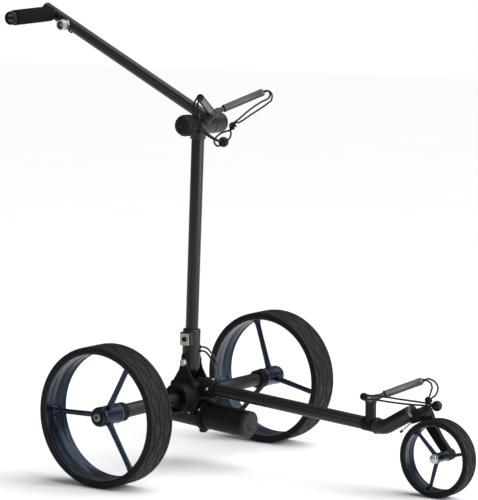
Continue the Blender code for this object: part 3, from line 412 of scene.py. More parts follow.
def woven_cord(name, colour):
    """A braid that follows the cord: the map's first number goes round, the second along."""
    made = Finish(name, 0.75, 0.0, Specular_IOR_Level=0.12, Sheen_Weight=0.05)
    where = made.add("ShaderNodeUVMap", {"uv_map": "braid"}).outputs[0]
    u, v, _ = made.parts(where)
    one = ((u * 8.0 + v * 9.0) * (2.0 * math.pi)).sine()
    other = ((u * 8.0 - v * 9.0) * (2.0 * math.pi)).sine()
    strands = one.largest(other)
    fuzz = made.noise(1600.0, 2.0)
    # Painted shade and light: the cord is darker in the grooves between the strands and paler on their
    # crowns.
    shade = strands.step(-0.2, 0.9)
    made.colour(made.mix(shade * (0.6 + fuzz * 0.4), scaled(colour, 0.45), scaled(colour, 2.2)))
    made.roughness(0.62 + fuzz * 0.2)
    made.bump(strands, 0.00016, 0.8)
    return made.material


PAINTS = {}


def paints():
    """Every finish, made once."""
    made = PAINTS
    if made:
        return made
    c = bpy.context.scene.trolley_colours
    made["tube"] = satin_black("frame_satin_black", c.frame_black)
    made["cast"] = casting_black("casting_matte_black", c.cast_black)
    s = bpy.context.scene.trolley_sizes
    centres = {"right": at(0.0, -REAR_Y, AXLE_Z), "left": at(0.0, REAR_Y, AXLE_Z),
               "front": at(FRONT_X, FRONT_Y, FRONT_RADIUS)}
    for side, centre in centres.items():
        radius = FRONT_RADIUS if side == "front" else REAR_RADIUS
        made["blue_" + side] = anodised_blue(side + "_wheel_blue", c.wheel_blue, centre)
        waves = round(s.waves * (FRONT_SCALE if side == "front" else 1.0))
        made["tyre_" + side] = tyre_rubber(side + "_tyre_rubber", c.tyre_black, centre, radius, waves,
                                           s.groove_sway)
    made["sleeve"] = gloss_rubber("arm_sleeve_rubber", c.sleeve_black)
    made["foam"] = grip_foam("grip_foam", c.foam)
    made["steel"] = turned_steel("turned_steel", c.steel)
    made["dull_steel"] = turned_steel("dull_steel", scaled(c.steel, 0.45), 0.38)
    made["plate"] = brushed_plate("latch_plate_steel", c.plate)
    made["cap"] = moulded_plastic("battery_cap_grey", c.cap_grey, 0.48)
    made["battery"] = moulded_plastic("battery_black", scaled(c.cast_black, 0.9), 0.46, 380.0)
    made["plastic"] = moulded_plastic("black_plastic", c.cast_black, 0.40)
    made["ball"] = moulded_plastic("strap_ball_black", scaled(c.cast_black, 1.1), 0.30, 240.0)
    made["knob"] = moulded_plastic("knob_black", scaled(c.cast_black, 1.3), 0.52, 500.0)
    made["dial"] = moulded_plastic("dial_grey", scaled(c.cap_grey, 4.0), 0.34)
    made["cord"] = woven_cord("braided_cord", c.cord)
    made["lead"] = gloss_rubber("lead_sheath", scaled(c.cord, 1.1))
    return made


# ---------------------------------------------------------------- shape helpers
def at(x, y, z):
    """A place whose x is measured from the rear axle."""
    return Vector((x + AXLE_X, y, z))


def tube_z(x):
    """The height of the front tube's middle line."""
    return TUBE_Z0 + TUBE_SLOPE * x


def square_pair(axis):
    """Two directions square to an axis and to each other."""
    guide = Vector((1.0, 0.0, 0.0)) if abs(axis.x) < 0.8 else ACROSS
    u = (guide - axis * guide.dot(axis)).normalized()
    return u, axis.cross(u)


def softened(profile, amount, steps=3, closed=False):
    """The same outline with its corners rounded."""
    if amount <= 0.0:
        return list(profile)
    points = [Vector(p) for p in profile]
    count = len(points)
    result = []
    for i, corner in enumerate(points):
        if not closed and i in (0, count - 1):
            result.append(tuple(corner))
            continue
        back = points[i - 1] - corner
        ahead = points[(i + 1) % count] - corner
        if back.length < 1e-9 or ahead.length < 1e-9 or back.angle(ahead) > 2.85:
            result.append(tuple(corner))
            continue
        cut = min(amount, back.length * 0.45, ahead.length * 0.45)
        first = corner + back.normalized() * cut
        last = corner + ahead.normalized() * cut
        for k in range(steps + 1):
            t = k / steps
            result.append(tuple(first.lerp(corner, t).lerp(corner.lerp(last, t), t)))
    return result


def turned(profile, start, axis, sides=72, closed=False, bm=None, soft=None):
    """Turns (radius, distance) points about an axis."""
    if soft is None:
        soft = bpy.context.scene.trolley_sizes.edge_round
    profile = softened(profile, soft, closed=closed)
    bm = bm or bmesh.new()
    axis = axis.normalized()
    u, v = square_pair(axis)
    rings = []
    for radius, along in profile:
        centre = start + axis * along
        if radius < 1e-7:
            rings.append([bm.verts.new(centre)])
            continue
        ring = []
        for i in range(sides):
            angle = 2.0 * math.pi * i / sides
            ring.append(bm.verts.new(centre + radius * (math.cos(angle) * u + math.sin(angle) * v)))
        rings.append(ring)
    pairs = list(zip(rings[:-1], rings[1:]))
    if closed:
        pairs.append((rings[-1], rings[0]))
    for low, high in pairs:
        for i in range(sides):
            j = (i + 1) % sides
            if len(low) == 1 and len(high) == 1:
                continue
            if len(low) == 1:
                bm.faces.new((low[0], high[j], high[i]))
            elif len(high) == 1:
                bm.faces.new((low[i], low[j], high[0]))
            else:
                bm.faces.new((low[i], low[j], high[j], high[i]))
    return bm


def bar(start, end, radius, sides=48, bm=None, edge=None):
    """A solid round bar with eased ends."""
    length = (end - start).length
    return turned([(0.0, 0.0), (radius, 0.0), (radius, length), (0.0, length)],
                  start, end - start, sides, False, bm, edge)


def loft(sections, bm=None):
    """A closed solid through rings of points with equal counts."""
    bm = bm or bmesh.new()
    rings = [[bm.verts.new(p) for p in ring] for ring in sections]
    count = len(rings[0])
    for low, high in zip(rings[:-1], rings[1:]):
        for i in range(count):
            j = (i + 1) % count
            bm.faces.new((low[i], low[j], high[j], high[i]))
    bm.faces.new(list(reversed(rings[0])))
    bm.faces.new(rings[-1])
    return bm


def swept(points, radii, sides=32, bm=None, mapped=False, closed=False):
    """A round bar along a path. A mapped one gets a braid map: round, and along in widths."""
    bm = bm or bmesh.new()
    count = len(points)
    tangents = []
    for i in range(count):
        before = points[i - 1] if closed or i > 0 else points[0]
        after = points[(i + 1) % count] if closed or i < count - 1 else points[-1]
        tangents.append((after - before).normalized())
    u, _ = square_pair(tangents[0])
    rings = []
    alongs = [0.0]
    for i, point in enumerate(points):
        if i > 0:
            u = tangents[i - 1].rotation_difference(tangents[i]) @ u
            alongs.append(alongs[-1] + (point - points[i - 1]).length)
        u = (u - tangents[i] * u.dot(tangents[i])).normalized()
        v = tangents[i].cross(u)
        radius = radii[i] if isinstance(radii, list) else radii
        ring = []
        for k in range(sides):
            angle = 2.0 * math.pi * k / sides
            ring.append(bm.verts.new(point + radius * (math.cos(angle) * u + math.sin(angle) * v)))
        rings.append(ring)
    layer = bm.loops.layers.uv.new("braid") if mapped else None
    width = 2.0 * (radii[0] if isinstance(radii, list) else radii) * math.pi
    spans = list(range(count if closed else count - 1))
    for i in spans:
        low = rings[i]
        high = rings[(i + 1) % count]
        for k in range(sides):
            n = (k + 1) % sides
            face = bm.faces.new((low[k], low[n], high[n], high[k]))
            if mapped:
                ends = (alongs[i], alongs[i] + (points[(i + 1) % count] - points[i]).length)
                for loop, (a, b) in zip(face.loops, ((k, 0), (k + 1, 0), (k + 1, 1), (k, 1))):
                    loop[layer].uv = (a / sides, ends[b] / width)
    if not closed:
        bm.faces.new(list(reversed(rings[0])))
        bm.faces.new(rings[-1])
    return bm


def block(low, high, edge, segments=3, bm=None):
    """A box with rounded edges."""
    part = bmesh.new()
    bmesh.ops.create_cube(part, size=1.0)
    bmesh.ops.scale(part, vec=Vector(high) - Vector(low), verts=part.verts)
    bmesh.ops.translate(part, vec=at(*((Vector(low) + Vector(high)) / 2.0)), verts=part.verts)
    bmesh.ops.bevel(part, geom=part.edges[:], offset=edge, segments=segments, profile=0.5, affect="EDGES")
    return joined(bm, part)


def joined(bm, part):
    """Adds one mesh under construction to another."""
    if bm is None:
        return part
    mesh = bpy.data.meshes.new("part")
    part.to_mesh(mesh)
    part.free()
    bm.from_mesh(mesh)
    bpy.data.meshes.remove(mesh)
    return bm


def piece(name, bm, material, body, replaces=(), sharp=38.0):
    """A finished mesh: outward faces, smooth rounds, its finish and its body."""
    bmesh.ops.recalc_face_normals(bm, faces=bm.faces)
    mesh = bpy.data.meshes.new(name)
    bm.to_mesh(mesh)
    bm.free()
    made = bpy.data.objects.new(name, mesh)
    bpy.context.scene.collection.objects.link(made)
    mesh.materials.append(material)
    mesh.shade_smooth()
    mesh.set_sharp_from_angle(angle=math.radians(sharp))
    if body:
        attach(made, body)
    if replaces:
        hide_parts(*replaces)
    return made


def settle(made):
    """Applies a piece's modifiers and puts the result in its mesh."""
    bpy.context.view_layer.update()
    graph = bpy.context.evaluated_depsgraph_get()
    mesh = bpy.data.meshes.new_from_object(made.evaluated_get(graph))
    made.modifiers.clear()
    old = made.data
    made.data = mesh
    bpy.data.meshes.remove(old)


def cast_copy(name, node, material, body, voxel, rounds=6):
    """A CAD node's shape with soft, run-together edges, as a casting has."""
    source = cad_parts[node]
    bm = bmesh.new()
    bm.from_mesh(source.data)
    bmesh.ops.remove_doubles(bm, verts=bm.verts, dist=0.00001)
    return run_together(name, bm, material, body, voxel, rounds, (node,))


def run_together(name, bm, material, body, voxel, rounds, replaces=()):
    """Overlapping solids made one, with blended inner corners."""
    bmesh.ops.recalc_face_normals(bm, faces=bm.faces)
    mesh = bpy.data.meshes.new(name)
    bm.to_mesh(mesh)
    bm.free()
    made = bpy.data.objects.new(name, mesh)
    bpy.context.scene.collection.objects.link(made)
    remesh = made.modifiers.new("run", "REMESH")
    remesh.mode = "VOXEL"
    remesh.voxel_size = voxel
    ease = made.modifiers.new("ease", "SMOOTH")
    ease.factor = 0.5
    ease.iterations = rounds
    settle(made)
    made.data.materials.clear()
    made.data.materials.append(material)
    made.data.shade_smooth()
    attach(made, body)
    if replaces:
        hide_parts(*replaces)
    return made


def bored(bm, start, end, radius):
    """The same solid with a round hole cut through it."""
    pair = []
    for name, shape in (("solid", bm), ("drill", bar(start, end, radius, 48, None, 0.0))):
        bmesh.ops.recalc_face_normals(shape, faces=shape.faces)
        mesh = bpy.data.meshes.new(name)
        shape.to_mesh(mesh)
        shape.free()
        pair.append(bpy.data.objects.new(name, mesh))
        bpy.context.scene.collection.objects.link(pair[-1])
    cut = pair[0].modifiers.new("cut", "BOOLEAN")
    cut.operation = "DIFFERENCE"
    cut.solver = "EXACT"
    cut.object = pair[1]
    settle(pair[0])
    result = bmesh.new()
    result.from_mesh(pair[0].data)
    for made in pair:
        bpy.data.objects.remove(made)
    return result


def smooth_route(points, spacing):
    """Evenly spaced points on a smooth curve through the route's points."""
    dense = []
    count = len(points)
    for i in range(count - 1):
        p0 = points[max(i - 1, 0)]
        p1 = points[i]
        p2 = points[i + 1]
        p3 = points[min(i + 2, count - 1)]
        t0 = 0.0
        t1 = t0 + math.sqrt(max((p1 - p0).length, 1e-5))
        t2 = t1 + math.sqrt(max((p2 - p1).length, 1e-5))
        t3 = t2 + math.sqrt(max((p3 - p2).length, 1e-5))
        for k in range(24):
            t = t1 + (t2 - t1) * k / 24.0
            a1 = p0.lerp(p1, (t - t0) / (t1 - t0)) if i > 0 else p1.copy()
            a2 = p1.lerp(p2, (t - t1) / (t2 - t1))
            a3 = p2.lerp(p3, (t - t2) / (t3 - t2)) if i < count - 2 else p2.copy()
            b1 = a1.lerp(a2, (t - t0) / (t2 - t0)) if i > 0 else a2.copy()
            b2 = a2.lerp(a3, (t - t1) / (t3 - t1)) if i < count - 2 else a2.copy()
            dense.append(b1.lerp(b2, (t - t1) / (t2 - t1)))
    dense.append(points[-1].copy())
    lengths = [0.0]
    for a, b in zip(dense[:-1], dense[1:]):
        lengths.append(lengths[-1] + (b - a).length)
    steps = max(4, round(lengths[-1] / spacing))
    result = []
    j = 0
    for i in range(steps + 1):
        target = lengths[-1] * i / steps
        while j < len(lengths) - 2 and lengths[j + 1] < target:
            j += 1
        span = max(lengths[j + 1] - lengths[j], 1e-9)
        result.append(dense[j].lerp(dense[j + 1], (target - lengths[j]) / span))
    return result


def route_length(points):
    return sum((b - a).length for a, b in zip(points[:-1], points[1:]))


# ---------------------------------------------------------------- node trees
def new_tree(name, inputs):
    """A geometry tree with named inputs, and its two end nodes."""
    tree = bpy.data.node_groups.new(name, "GeometryNodeTree")
    sockets = {}
    tree.interface.new_socket("Geometry", in_out="INPUT", socket_type="NodeSocketGeometry")
    for label, kind in inputs:
        sockets[label] = tree.interface.new_socket(label, in_out="INPUT", socket_type=kind)
    tree.interface.new_socket("Geometry", in_out="OUTPUT", socket_type="NodeSocketGeometry")
    return tree, sockets, tree.nodes.new("NodeGroupInput"), tree.nodes.new("NodeGroupOutput")


def wire(tree, pairs):
    for source, target in pairs:
        tree.links.new(source, target)


def rib_ring_tree():
    """Round ribs standing side by side on a ring, turned and moved to their place."""
    tree, sockets, start, end = new_tree("rib_ring", [
        ("Count", "NodeSocketInt"), ("Ring Radius", "NodeSocketFloat"), ("Rib Radius", "NodeSocketFloat"),
        ("Rib Length", "NodeSocketFloat"), ("Turn", "NodeSocketVector"), ("Centre", "NodeSocketVector"),
        ("Finish", "NodeSocketMaterial")])
    n = tree.nodes
    ring = n.new("GeometryNodeMeshCircle")
    rib = n.new("GeometryNodeMeshCylinder")
    rib.inputs["Vertices"].default_value = 8
    smooth = n.new("GeometryNodeSetShadeSmooth")
    place = n.new("GeometryNodeInstanceOnPoints")
    turn = n.new("FunctionNodeEulerToRotation")
    move = n.new("GeometryNodeTransform")
    real = n.new("GeometryNodeRealizeInstances")
    coat = n.new("GeometryNodeSetMaterial")
    wire(tree, [
        (start.outputs["Count"], ring.inputs["Vertices"]),
        (start.outputs["Ring Radius"], ring.inputs["Radius"]),
        (start.outputs["Rib Radius"], rib.inputs["Radius"]),
        (start.outputs["Rib Length"], rib.inputs["Depth"]),
        (rib.outputs["Mesh"], smooth.inputs["Geometry"]),
        (ring.outputs["Mesh"], place.inputs["Points"]),
        (smooth.outputs["Geometry"], place.inputs["Instance"]),
        (place.outputs["Instances"], move.inputs["Geometry"]),
        (start.outputs["Turn"], turn.inputs[0]),
        (turn.outputs[0], move.inputs["Rotation"]),
        (start.outputs["Centre"], move.inputs["Translation"]),
        (move.outputs["Geometry"], real.inputs["Geometry"]),
        (real.outputs["Geometry"], coat.inputs["Geometry"]),
        (start.outputs["Finish"], coat.inputs["Material"]),
        (coat.outputs["Geometry"], end.inputs["Geometry"])])
    return tree, sockets


def scatter_tree():
    """A copy of one small piece on each point, with its Z along the point's out direction."""
    tree, sockets, start, end = new_tree("set_on_points", [
        ("Piece", "NodeSocketObject"), ("Finish", "NodeSocketMaterial")])
    n = tree.nodes
    info = n.new("GeometryNodeObjectInfo")
    way = n.new("GeometryNodeInputNamedAttribute")
    way.data_type = "FLOAT_VECTOR"
    way.inputs["Name"].default_value = "out"
    aim = n.new("FunctionNodeAlignRotationToVector")
    aim.axis = "Z"
    place = n.new("GeometryNodeInstanceOnPoints")
    real = n.new("GeometryNodeRealizeInstances")
    coat = n.new("GeometryNodeSetMaterial")
    wire(tree, [
        (start.outputs["Piece"], info.inputs["Object"]),
        (start.outputs["Geometry"], place.inputs["Points"]),
        (info.outputs["Geometry"], place.inputs["Instance"]),
        (way.outputs["Attribute"], aim.inputs["Vector"]),
        (aim.outputs["Rotation"], place.inputs["Rotation"]),
        (place.outputs["Instances"], real.inputs["Geometry"]),
        (real.outputs["Geometry"], coat.inputs["Geometry"]),
        (start.outputs["Finish"], coat.inputs["Material"]),
        (coat.outputs["Geometry"], end.inputs["Geometry"])])
    return tree, sockets


def grown(name, mesh, tree, sockets, values, body):
    """Runs a geometry tree on a mesh and keeps the result as a plain piece."""
    made = bpy.data.objects.new(name, mesh)
    bpy.context.scene.collection.objects.link(made)
    modifier = made.modifiers.new("grow", "NODES")
    modifier.node_group = tree
    for label, value in values.items():
        modifier[sockets[label].identifier] = value
    settle(made)
    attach(made, body)
    return made


def rib_ring(name, count, ring, rib, length, centre, axis, material, body):
    tree, sockets = rib_ring_tree()
    turn = axis.to_track_quat("Z", "Y").to_euler()
    values = {"Count": count, "Ring Radius": ring, "Rib Radius": rib, "Rib Length": length,
              "Turn": tuple(turn), "Centre": tuple(centre), "Finish": material}
    return grown(name, bpy.data.meshes.new(name), tree, sockets, values, body)


def set_on(name, places, master, material, body):
    """Copies of a master mesh at (place, out direction) pairs."""
    tree, sockets = scatter_tree()
    mesh = bpy.data.meshes.new(name)
    mesh.from_pydata([tuple(place) for place, _ in places], [], [])
    ways = mesh.attributes.new("out", "FLOAT_VECTOR", "POINT")
    for item, (_, way) in zip(ways.data, places):
        item.vector = tuple(way.normalized())
    master_mesh = bpy.data.meshes.new("master")
    bmesh.ops.recalc_face_normals(master, faces=master.faces)
    master.to_mesh(master_mesh)
    master.free()
    master_mesh.shade_smooth()
    master_mesh.set_sharp_from_angle(angle=math.radians(38.0))
    holder = bpy.data.objects.new("master", master_mesh)
    bpy.context.scene.collection.objects.link(holder)
    made = grown(name, mesh, tree, sockets, {"Piece": holder, "Finish": material}, body)
    bpy.data.objects.remove(holder)
    bpy.data.meshes.remove(master_mesh)
    return made


def socket_screw(radius, height, sunk):
    """A domed screw head with a hexagon socket, standing on z = 0."""
    profile = [(0.0, height * 0.35), (radius * 0.42, height * 0.35), (radius * 0.46, height * 0.98),
               (radius * 0.70, height), (radius, height * 0.5), (radius, -sunk), (0.0, -sunk)]
    return turned(profile, Vector((0.0, 0.0, 0.0)), UP, 24, False, None, 0.0003)


# ---------------------------------------------------------------- wheels
def tread_mesh(centre, radius, half, lip, inner, seat, grooves, waves, sway, depth, segments):
    """A tyre whose grooves wave round it: each groove's own lines follow its wave."""
    outline = [(inner, -seat, 0.0), (inner, seat, 0.0), (lip, seat, 0.0), (lip, half - 0.0012, 0.0),
               (lip + 0.0010, half, 0.0), (radius - 0.0062, half, 0.0),
               (radius - 0.0056, half - 0.0005, 0.0), (radius - 0.0050, half, 0.0),
               (radius - 0.0030, half - 0.0001, 0.0),
               (radius - 0.0016, half - 0.0006, 0.0), (radius - 0.0007, half - 0.0017, 0.0),
               (radius - 0.0003, half - 0.0034, 0.0)]
    for place, phase in grooves:
        for offset, sink in ((0.0020, 0.0), (0.0015, 0.10), (0.0011, 0.85), (0.0, 1.0),
                             (-0.0011, 0.85), (-0.0015, 0.10), (-0.0020, 0.0)):
            crown = 0.0003 * ((place + offset) / half) ** 4
            outline.append((radius - crown - sink * depth, place + offset, phase))
    mirror = [(r, -y, 0.0) for r, y, _ in reversed(outline[4:12])]
    outline += mirror + [(lip, -half + 0.0012, 0.0), (lip, -seat, 0.0)]
    bm = bmesh.new()
    rings = []
    for i in range(segments):
        angle = 2.0 * math.pi * i / segments
        swing = sway * math.sin(waves * angle)
        out = Vector((math.cos(angle), 0.0, math.sin(angle)))
        rings.append([bm.verts.new(centre + out * r + ACROSS * (y + phase * swing))
                      for r, y, phase in outline])
    count = len(outline)
    for i in range(segments):
        low = rings[i]
        high = rings[(i + 1) % segments]
        for k in range(count):
            n = (k + 1) % count
            bm.faces.new((low[k], low[n], high[n], high[k]))
    return bm


def rounded_section(centre, across, along, width, thickness, power=4.0, steps=24):
    """A ring of points between an ellipse and a rectangle: squarer as the power grows."""
    ring = []
    for i in range(steps):
        angle = 2.0 * math.pi * i / steps
        c = math.cos(angle)
        s = math.sin(angle)
        a = math.copysign(abs(c) ** (2.0 / power), c) * width / 2.0
        b = math.copysign(abs(s) ** (2.0 / power), s) * thickness / 2.0
        ring.append(centre + across * a + along * b)
    return ring


def spokes(bm, centre, angles, stations):
    """Spokes that flare at the hub and at the rim; a station is (distance, width, thickness)."""
    for degrees in angles:
        angle = math.radians(degrees)
        out = Vector((math.cos(angle), 0.0, math.sin(angle)))
        across = Vector((-math.sin(angle), 0.0, math.cos(angle)))
        rings = [rounded_section(centre + out * r, across, ACROSS, w, t) for r, w, t in stations]
        joined_part = loft(rings)
        bmesh.ops.recalc_face_normals(joined_part, faces=joined_part.faces)
        joined(bm, joined_part)
    return bm


class TROLLEY_OT_tyres(bpy.types.Operator):
    """Tyres with waving grooves"""
    bl_idname = "trolley.tyres"
    bl_label = "Tyres"

    def execute(self, context):
        s = context.scene.trolley_sizes
        rear = [(0.0245, -1.0), (0.0082, 1.0), (-0.0082, -1.0), (-0.0245, 1.0)]
        for side, sign in (("right", -1.0), ("left", 1.0)):
            centre = at(0.0, sign * REAR_Y, AXLE_Z)
            bm = tread_mesh(centre, REAR_RADIUS, REAR_HALF, 0.1366, 0.1396, REAR_HALF - 0.0017, rear,
                            s.waves, s.groove_sway, s.groove_depth, 256)
            piece(side + "_tyre_tread", bm, paints()["tyre_" + side], side + "_wheel",
                  (side + "_tyre",), 50.0)
        front = [(0.0105, -1.0), (0.0, 1.0), (-0.0105, -1.0)]
        bm = tread_mesh(at(FRONT_X, FRONT_Y, FRONT_RADIUS), FRONT_RADIUS, FRONT_HALF, 0.0704, 0.0729,
                        FRONT_HALF - 0.0014, front, round(s.waves * FRONT_SCALE), s.groove_sway * FRONT_SCALE,
                        s.groove_depth * 0.8, 200)
        piece("front_tyre_tread", bm, paints()["tyre_front"], "front_wheel", ("front_tyre",), 50.0)
        return {"FINISHED"}


class TROLLEY_OT_rims(bpy.types.Operator):
    """Rim drums with rolled edges and a line round the middle"""
    bl_idname = "trolley.rims"
    bl_label = "Rims"

    def execute(self, context):
        cut = context.scene.trolley_sizes.rim_groove
        rims = [("right", at(0.0, -REAR_Y, AXLE_Z), 0.1392, 0.1350, REAR_HALF - 0.0020),
                ("left", at(0.0, REAR_Y, AXLE_Z), 0.1392, 0.1350, REAR_HALF - 0.0020),
                ("front", at(FRONT_X, FRONT_Y, FRONT_RADIUS), 0.0726, 0.0692, FRONT_HALF - 0.0017)]
        for side, centre, outer, inner, half in rims:
            lip = 0.0011
            section = []
            for sign in (-1.0, 1.0):
                edge = [(inner + cut, sign * 0.0004), (inner + 0.0001, sign * 0.0013),
                        (inner + 0.0006, sign * half * 0.5), (inner + 0.0002, sign * (half - 0.0042)),
                        (inner - lip * 0.6, sign * (half - 0.0030)), (inner - lip, sign * (half - 0.0014)),
                        (inner - lip * 0.3, sign * (half - 0.0002)), (outer, sign * half)]
                section += edge if sign > 0.0 else list(reversed(edge))
            bm = turned(section, centre, ACROSS, 160, True, None, 0.0)
            piece(side + "_rim_drum", bm, paints()["blue_" + side], side + "_wheel",
                  (side + "_rim",), 60.0)
        return {"FINISHED"}


class TROLLEY_OT_spiders(bpy.types.Operator):
    """Hubs with their spokes"""
    bl_idname = "trolley.spiders"
    bl_label = "Hubs and spokes"

    def execute(self, context):
        stations = [(0.0150, 0.0150, 0.0125), (0.0205, 0.0142, 0.0120), (0.0250, 0.0122, 0.0104),
                    (0.0420, 0.0112, 0.0094), (0.0900, 0.0104, 0.0088), (0.1190, 0.0106, 0.0094),
                    (0.1270, 0.0124, 0.0122), (0.1315, 0.0165, 0.0180), (0.1338, 0.0235, 0.0270),
                    (0.1346, 0.0240, 0.0275)]
        for side, sign in (("right", -1.0), ("left", 1.0)):
            out = ACROSS * sign
            base = at(0.0, 0.0, AXLE_Z)
            hub = [(0.0068, HUB_INNER), (0.0185, HUB_INNER), (HUB_RADIUS + 0.0004, HUB_INNER + 0.0015),
                   (HUB_RADIUS + 0.0004, HUB_INNER + 0.0060), (HUB_RADIUS - 0.0004, HUB_INNER + 0.0068),
                   (HUB_RADIUS - 0.0004, HUB_OUTER - 0.0150), (HUB_RADIUS + 0.0002, HUB_OUTER - 0.0140),
                   (HUB_RADIUS + 0.0002, HUB_OUTER - 0.0070), (HUB_RADIUS - 0.0010, HUB_OUTER - 0.0030),
                   (HUB_RADIUS - 0.0036, HUB_OUTER - 0.0005), (HUB_RADIUS - 0.0050, HUB_OUTER),
                   (0.0150, HUB_OUTER - 0.0004), (0.0146, HUB_OUTER - 0.0024), (0.0112, HUB_OUTER - 0.0028),
                   (0.0103, HUB_OUTER - 0.0028), (0.0103, HUB_OUTER - 0.0165), (0.0068, HUB_OUTER - 0.0165)]
            bm = turned(hub, base, out, 96, True, None, 0.0005)
            spokes(bm, at(0.0, sign * REAR_Y, AXLE_Z), REAR_SPOKES[side], stations)
            piece(side + "_hub_and_spokes", bm, paints()["blue_" + side], side + "_wheel",
                  (side + "_spider",), 40.0)
            # Painted shade: a black ring set in the hub end's recess, a dark piece standing for the shade in
            # the recess.
            ring = turned([(0.0106, HUB_OUTER - 0.0026), (0.0144, HUB_OUTER - 0.0022),
                           (0.0144, HUB_OUTER - 0.0014), (0.0106, HUB_OUTER - 0.0016)],
                          base, out, 72, True, None, 0.0002)
            piece(side + "_hub_seal", ring, paints()["plastic"], side + "_wheel", (), 40.0)
            # Painted highlight: a thin pale steel band round the hub's inner end stands in for thin highlight
            # edges on the hub's inner flange.
            band = [(HUB_RADIUS + 0.0003, HUB_INNER + 0.0062), (HUB_RADIUS + 0.0006, HUB_INNER + 0.0064),
                    (HUB_RADIUS + 0.0006, HUB_INNER + 0.0072), (HUB_RADIUS - 0.0005, HUB_INNER + 0.0074),
                    (HUB_RADIUS - 0.0005, HUB_INNER + 0.0062)]
            band = turned(band, base, out, 72, True, None, 0.0)
            piece(side + "_hub_band", band, paints()["dull_steel"], side + "_wheel", (), 40.0)
            top = HUB_OUTER
            button = [(0.0, top - 0.0125), (0.0099, top - 0.0125), (0.0099, top + 0.0008),
                      (0.0092, top + 0.0028), (0.0074, top + 0.0042), (0.0056, top + 0.0046),
                      (0.0040, top + 0.0045), (0.0034, top + 0.0036), (0.0030, top + 0.0012),
                      (0.0, top + 0.0010)]
            piece(side + "_release_cap", turned(button, base, out, 64, False, None, 0.0004),
                  paints()["dull_steel"], side + "_release", (side + "_release_button",), 40.0)
            dot = turned([(0.0, top + 0.0009), (0.0029, top + 0.0009), (0.0029, top + 0.0024),
                          (0.0020, top + 0.0030), (0.0, top + 0.0030)], base, out, 40, False, None, 0.0003)
            piece(side + "_release_centre", dot, paints()["plastic"], side + "_release", (), 40.0)
        centre = at(FRONT_X, 0.0, FRONT_RADIUS)
        hub = [(0.0045, -0.0125), (0.0095, -0.0125), (0.0110, -0.0112), (0.0110, -0.0060), (0.0104, -0.0050),
               (0.0104, 0.0290), (0.0110, 0.0300), (0.0110, 0.0340), (0.0100, 0.0352), (0.0045, 0.0352)]
        bm = turned(hub, centre, ACROSS, 80, True, None, 0.0004)
        small = [(0.0070, 0.0105, 0.0088), (0.0110, 0.0098, 0.0082), (0.0150, 0.0086, 0.0072),
                 (0.0580, 0.0068, 0.0062), (0.0640, 0.0078, 0.0080), (0.0670, 0.0110, 0.0120),
                 (0.0685, 0.0150, 0.0160), (0.0690, 0.0152, 0.0162)]
        spokes(bm, at(FRONT_X, FRONT_Y, FRONT_RADIUS), FRONT_SPOKES, small)
        piece("front_hub_and_spokes", bm, paints()["blue_front"], "front_wheel",
              ("front_spider",), 40.0)
        return {"FINISHED"}


# ---------------------------------------------------------------- frame
class TROLLEY_OT_axles(bpy.types.Operator):
    """Axle tubes and their collars"""
    bl_idname = "trolley.axles"
    bl_label = "Axles"

    def execute(self, context):
        base = at(0.0, 0.0, AXLE_Z)
        for side, sign in (("right", -1.0), ("left", 1.0)):
            out = ACROSS * sign
            tube = [(0.0, 0.0445), (0.0150, 0.0445), (0.0150, 0.2340), (0.0146, 0.2344), (0.0146, 0.2352),
                    (0.0150, 0.2356), (0.0150, 0.2475), (0.0, 0.2475)]
            piece(side + "_axle_sleeve", turned(tube, base, out, 96, False, None, 0.0003), paints()["tube"],
                  "frame", (side + "_axle_tube",), 38.0)
            collar = [(0.0, 0.2478), (0.0186, 0.2478), (0.0205, 0.2492), (0.0205, 0.2560),
                      (0.0198, 0.2564), (0.0198, 0.2576), (0.0205, 0.2580), (0.0205, 0.2645),
                      (0.0200, 0.2650), (0.0065, 0.2650), (0.0065, 0.3120), (0.0, 0.3120)]
            piece(side + "_axle_end", turned(collar, base, out, 96, False, None, 0.0004), paints()["cast"],
                  "frame", (side + "_axle_collar",), 38.0)
        return {"FINISHED"}


class TROLLEY_OT_casting(bpy.types.Operator):
    """The axle casting, its battery clamp and the pivot bolt"""
    bl_idname = "trolley.casting"
    bl_label = "Axle casting"

    def execute(self, context):
        cast_copy("axle_casting_body", "axle_casting", paints()["cast"], "frame", 0.0011, 8)
        cast_copy("battery_clamp_body", "battery_clamp", paints()["cast"], "frame", 0.0008, 5)
        centre = at(*PIVOT)
        reach = 0.0278
        bm = bar(centre - ACROSS * (reach + 0.002), centre + ACROSS * (reach + 0.002), 0.0040, 32)
        turned([(0.0, reach), (0.0085, reach), (0.0085, reach + 0.0008), (0.0072, reach + 0.0010),
                (0.0072, reach + 0.0040), (0.0055, reach + 0.0060), (0.0030, reach + 0.0060),
                (0.0028, reach + 0.0036), (0.0, reach + 0.0036)], centre, -ACROSS, 48, False, bm, 0.0003)
        turned([(0.0, reach), (0.0078, reach), (0.0078, reach + 0.0050), (0.0066, reach + 0.0056),
                (0.0, reach + 0.0056)], centre, ACROSS, 6, False, bm, 0.0)
        piece("pivot_bolt_set", bm, paints()["steel"], "frame", ("pivot_bolt",), 30.0)
        return {"FINISHED"}


def neck_path():
    """The neck's first point, its bend as a list of points, and its last point."""
    corner = at(NECK_BEND_X, 0.0, tube_z(NECK_BEND_X))
    rise = Vector((1.0, 0.0, math.tan(math.radians(30.5))))
    end = corner + rise * (NECK_END_X - NECK_BEND_X)
    begin = at(NECK_START_X, 0.0, tube_z(NECK_START_X))
    back = (begin - corner).normalized()
    ahead = (end - corner).normalized()
    half = back.angle(ahead) / 2.0
    radius = 0.040
    centre = corner + (back + ahead).normalized() * (radius / math.sin(half))
    first = corner + back * (radius / math.tan(half)) - centre
    turn = first.rotation_difference(corner + ahead * (radius / math.tan(half)) - centre)
    bend = [centre + Matrix.Rotation(turn.angle * i / 24, 3, turn.axis) @ first for i in range(25)]
    return begin, bend, end


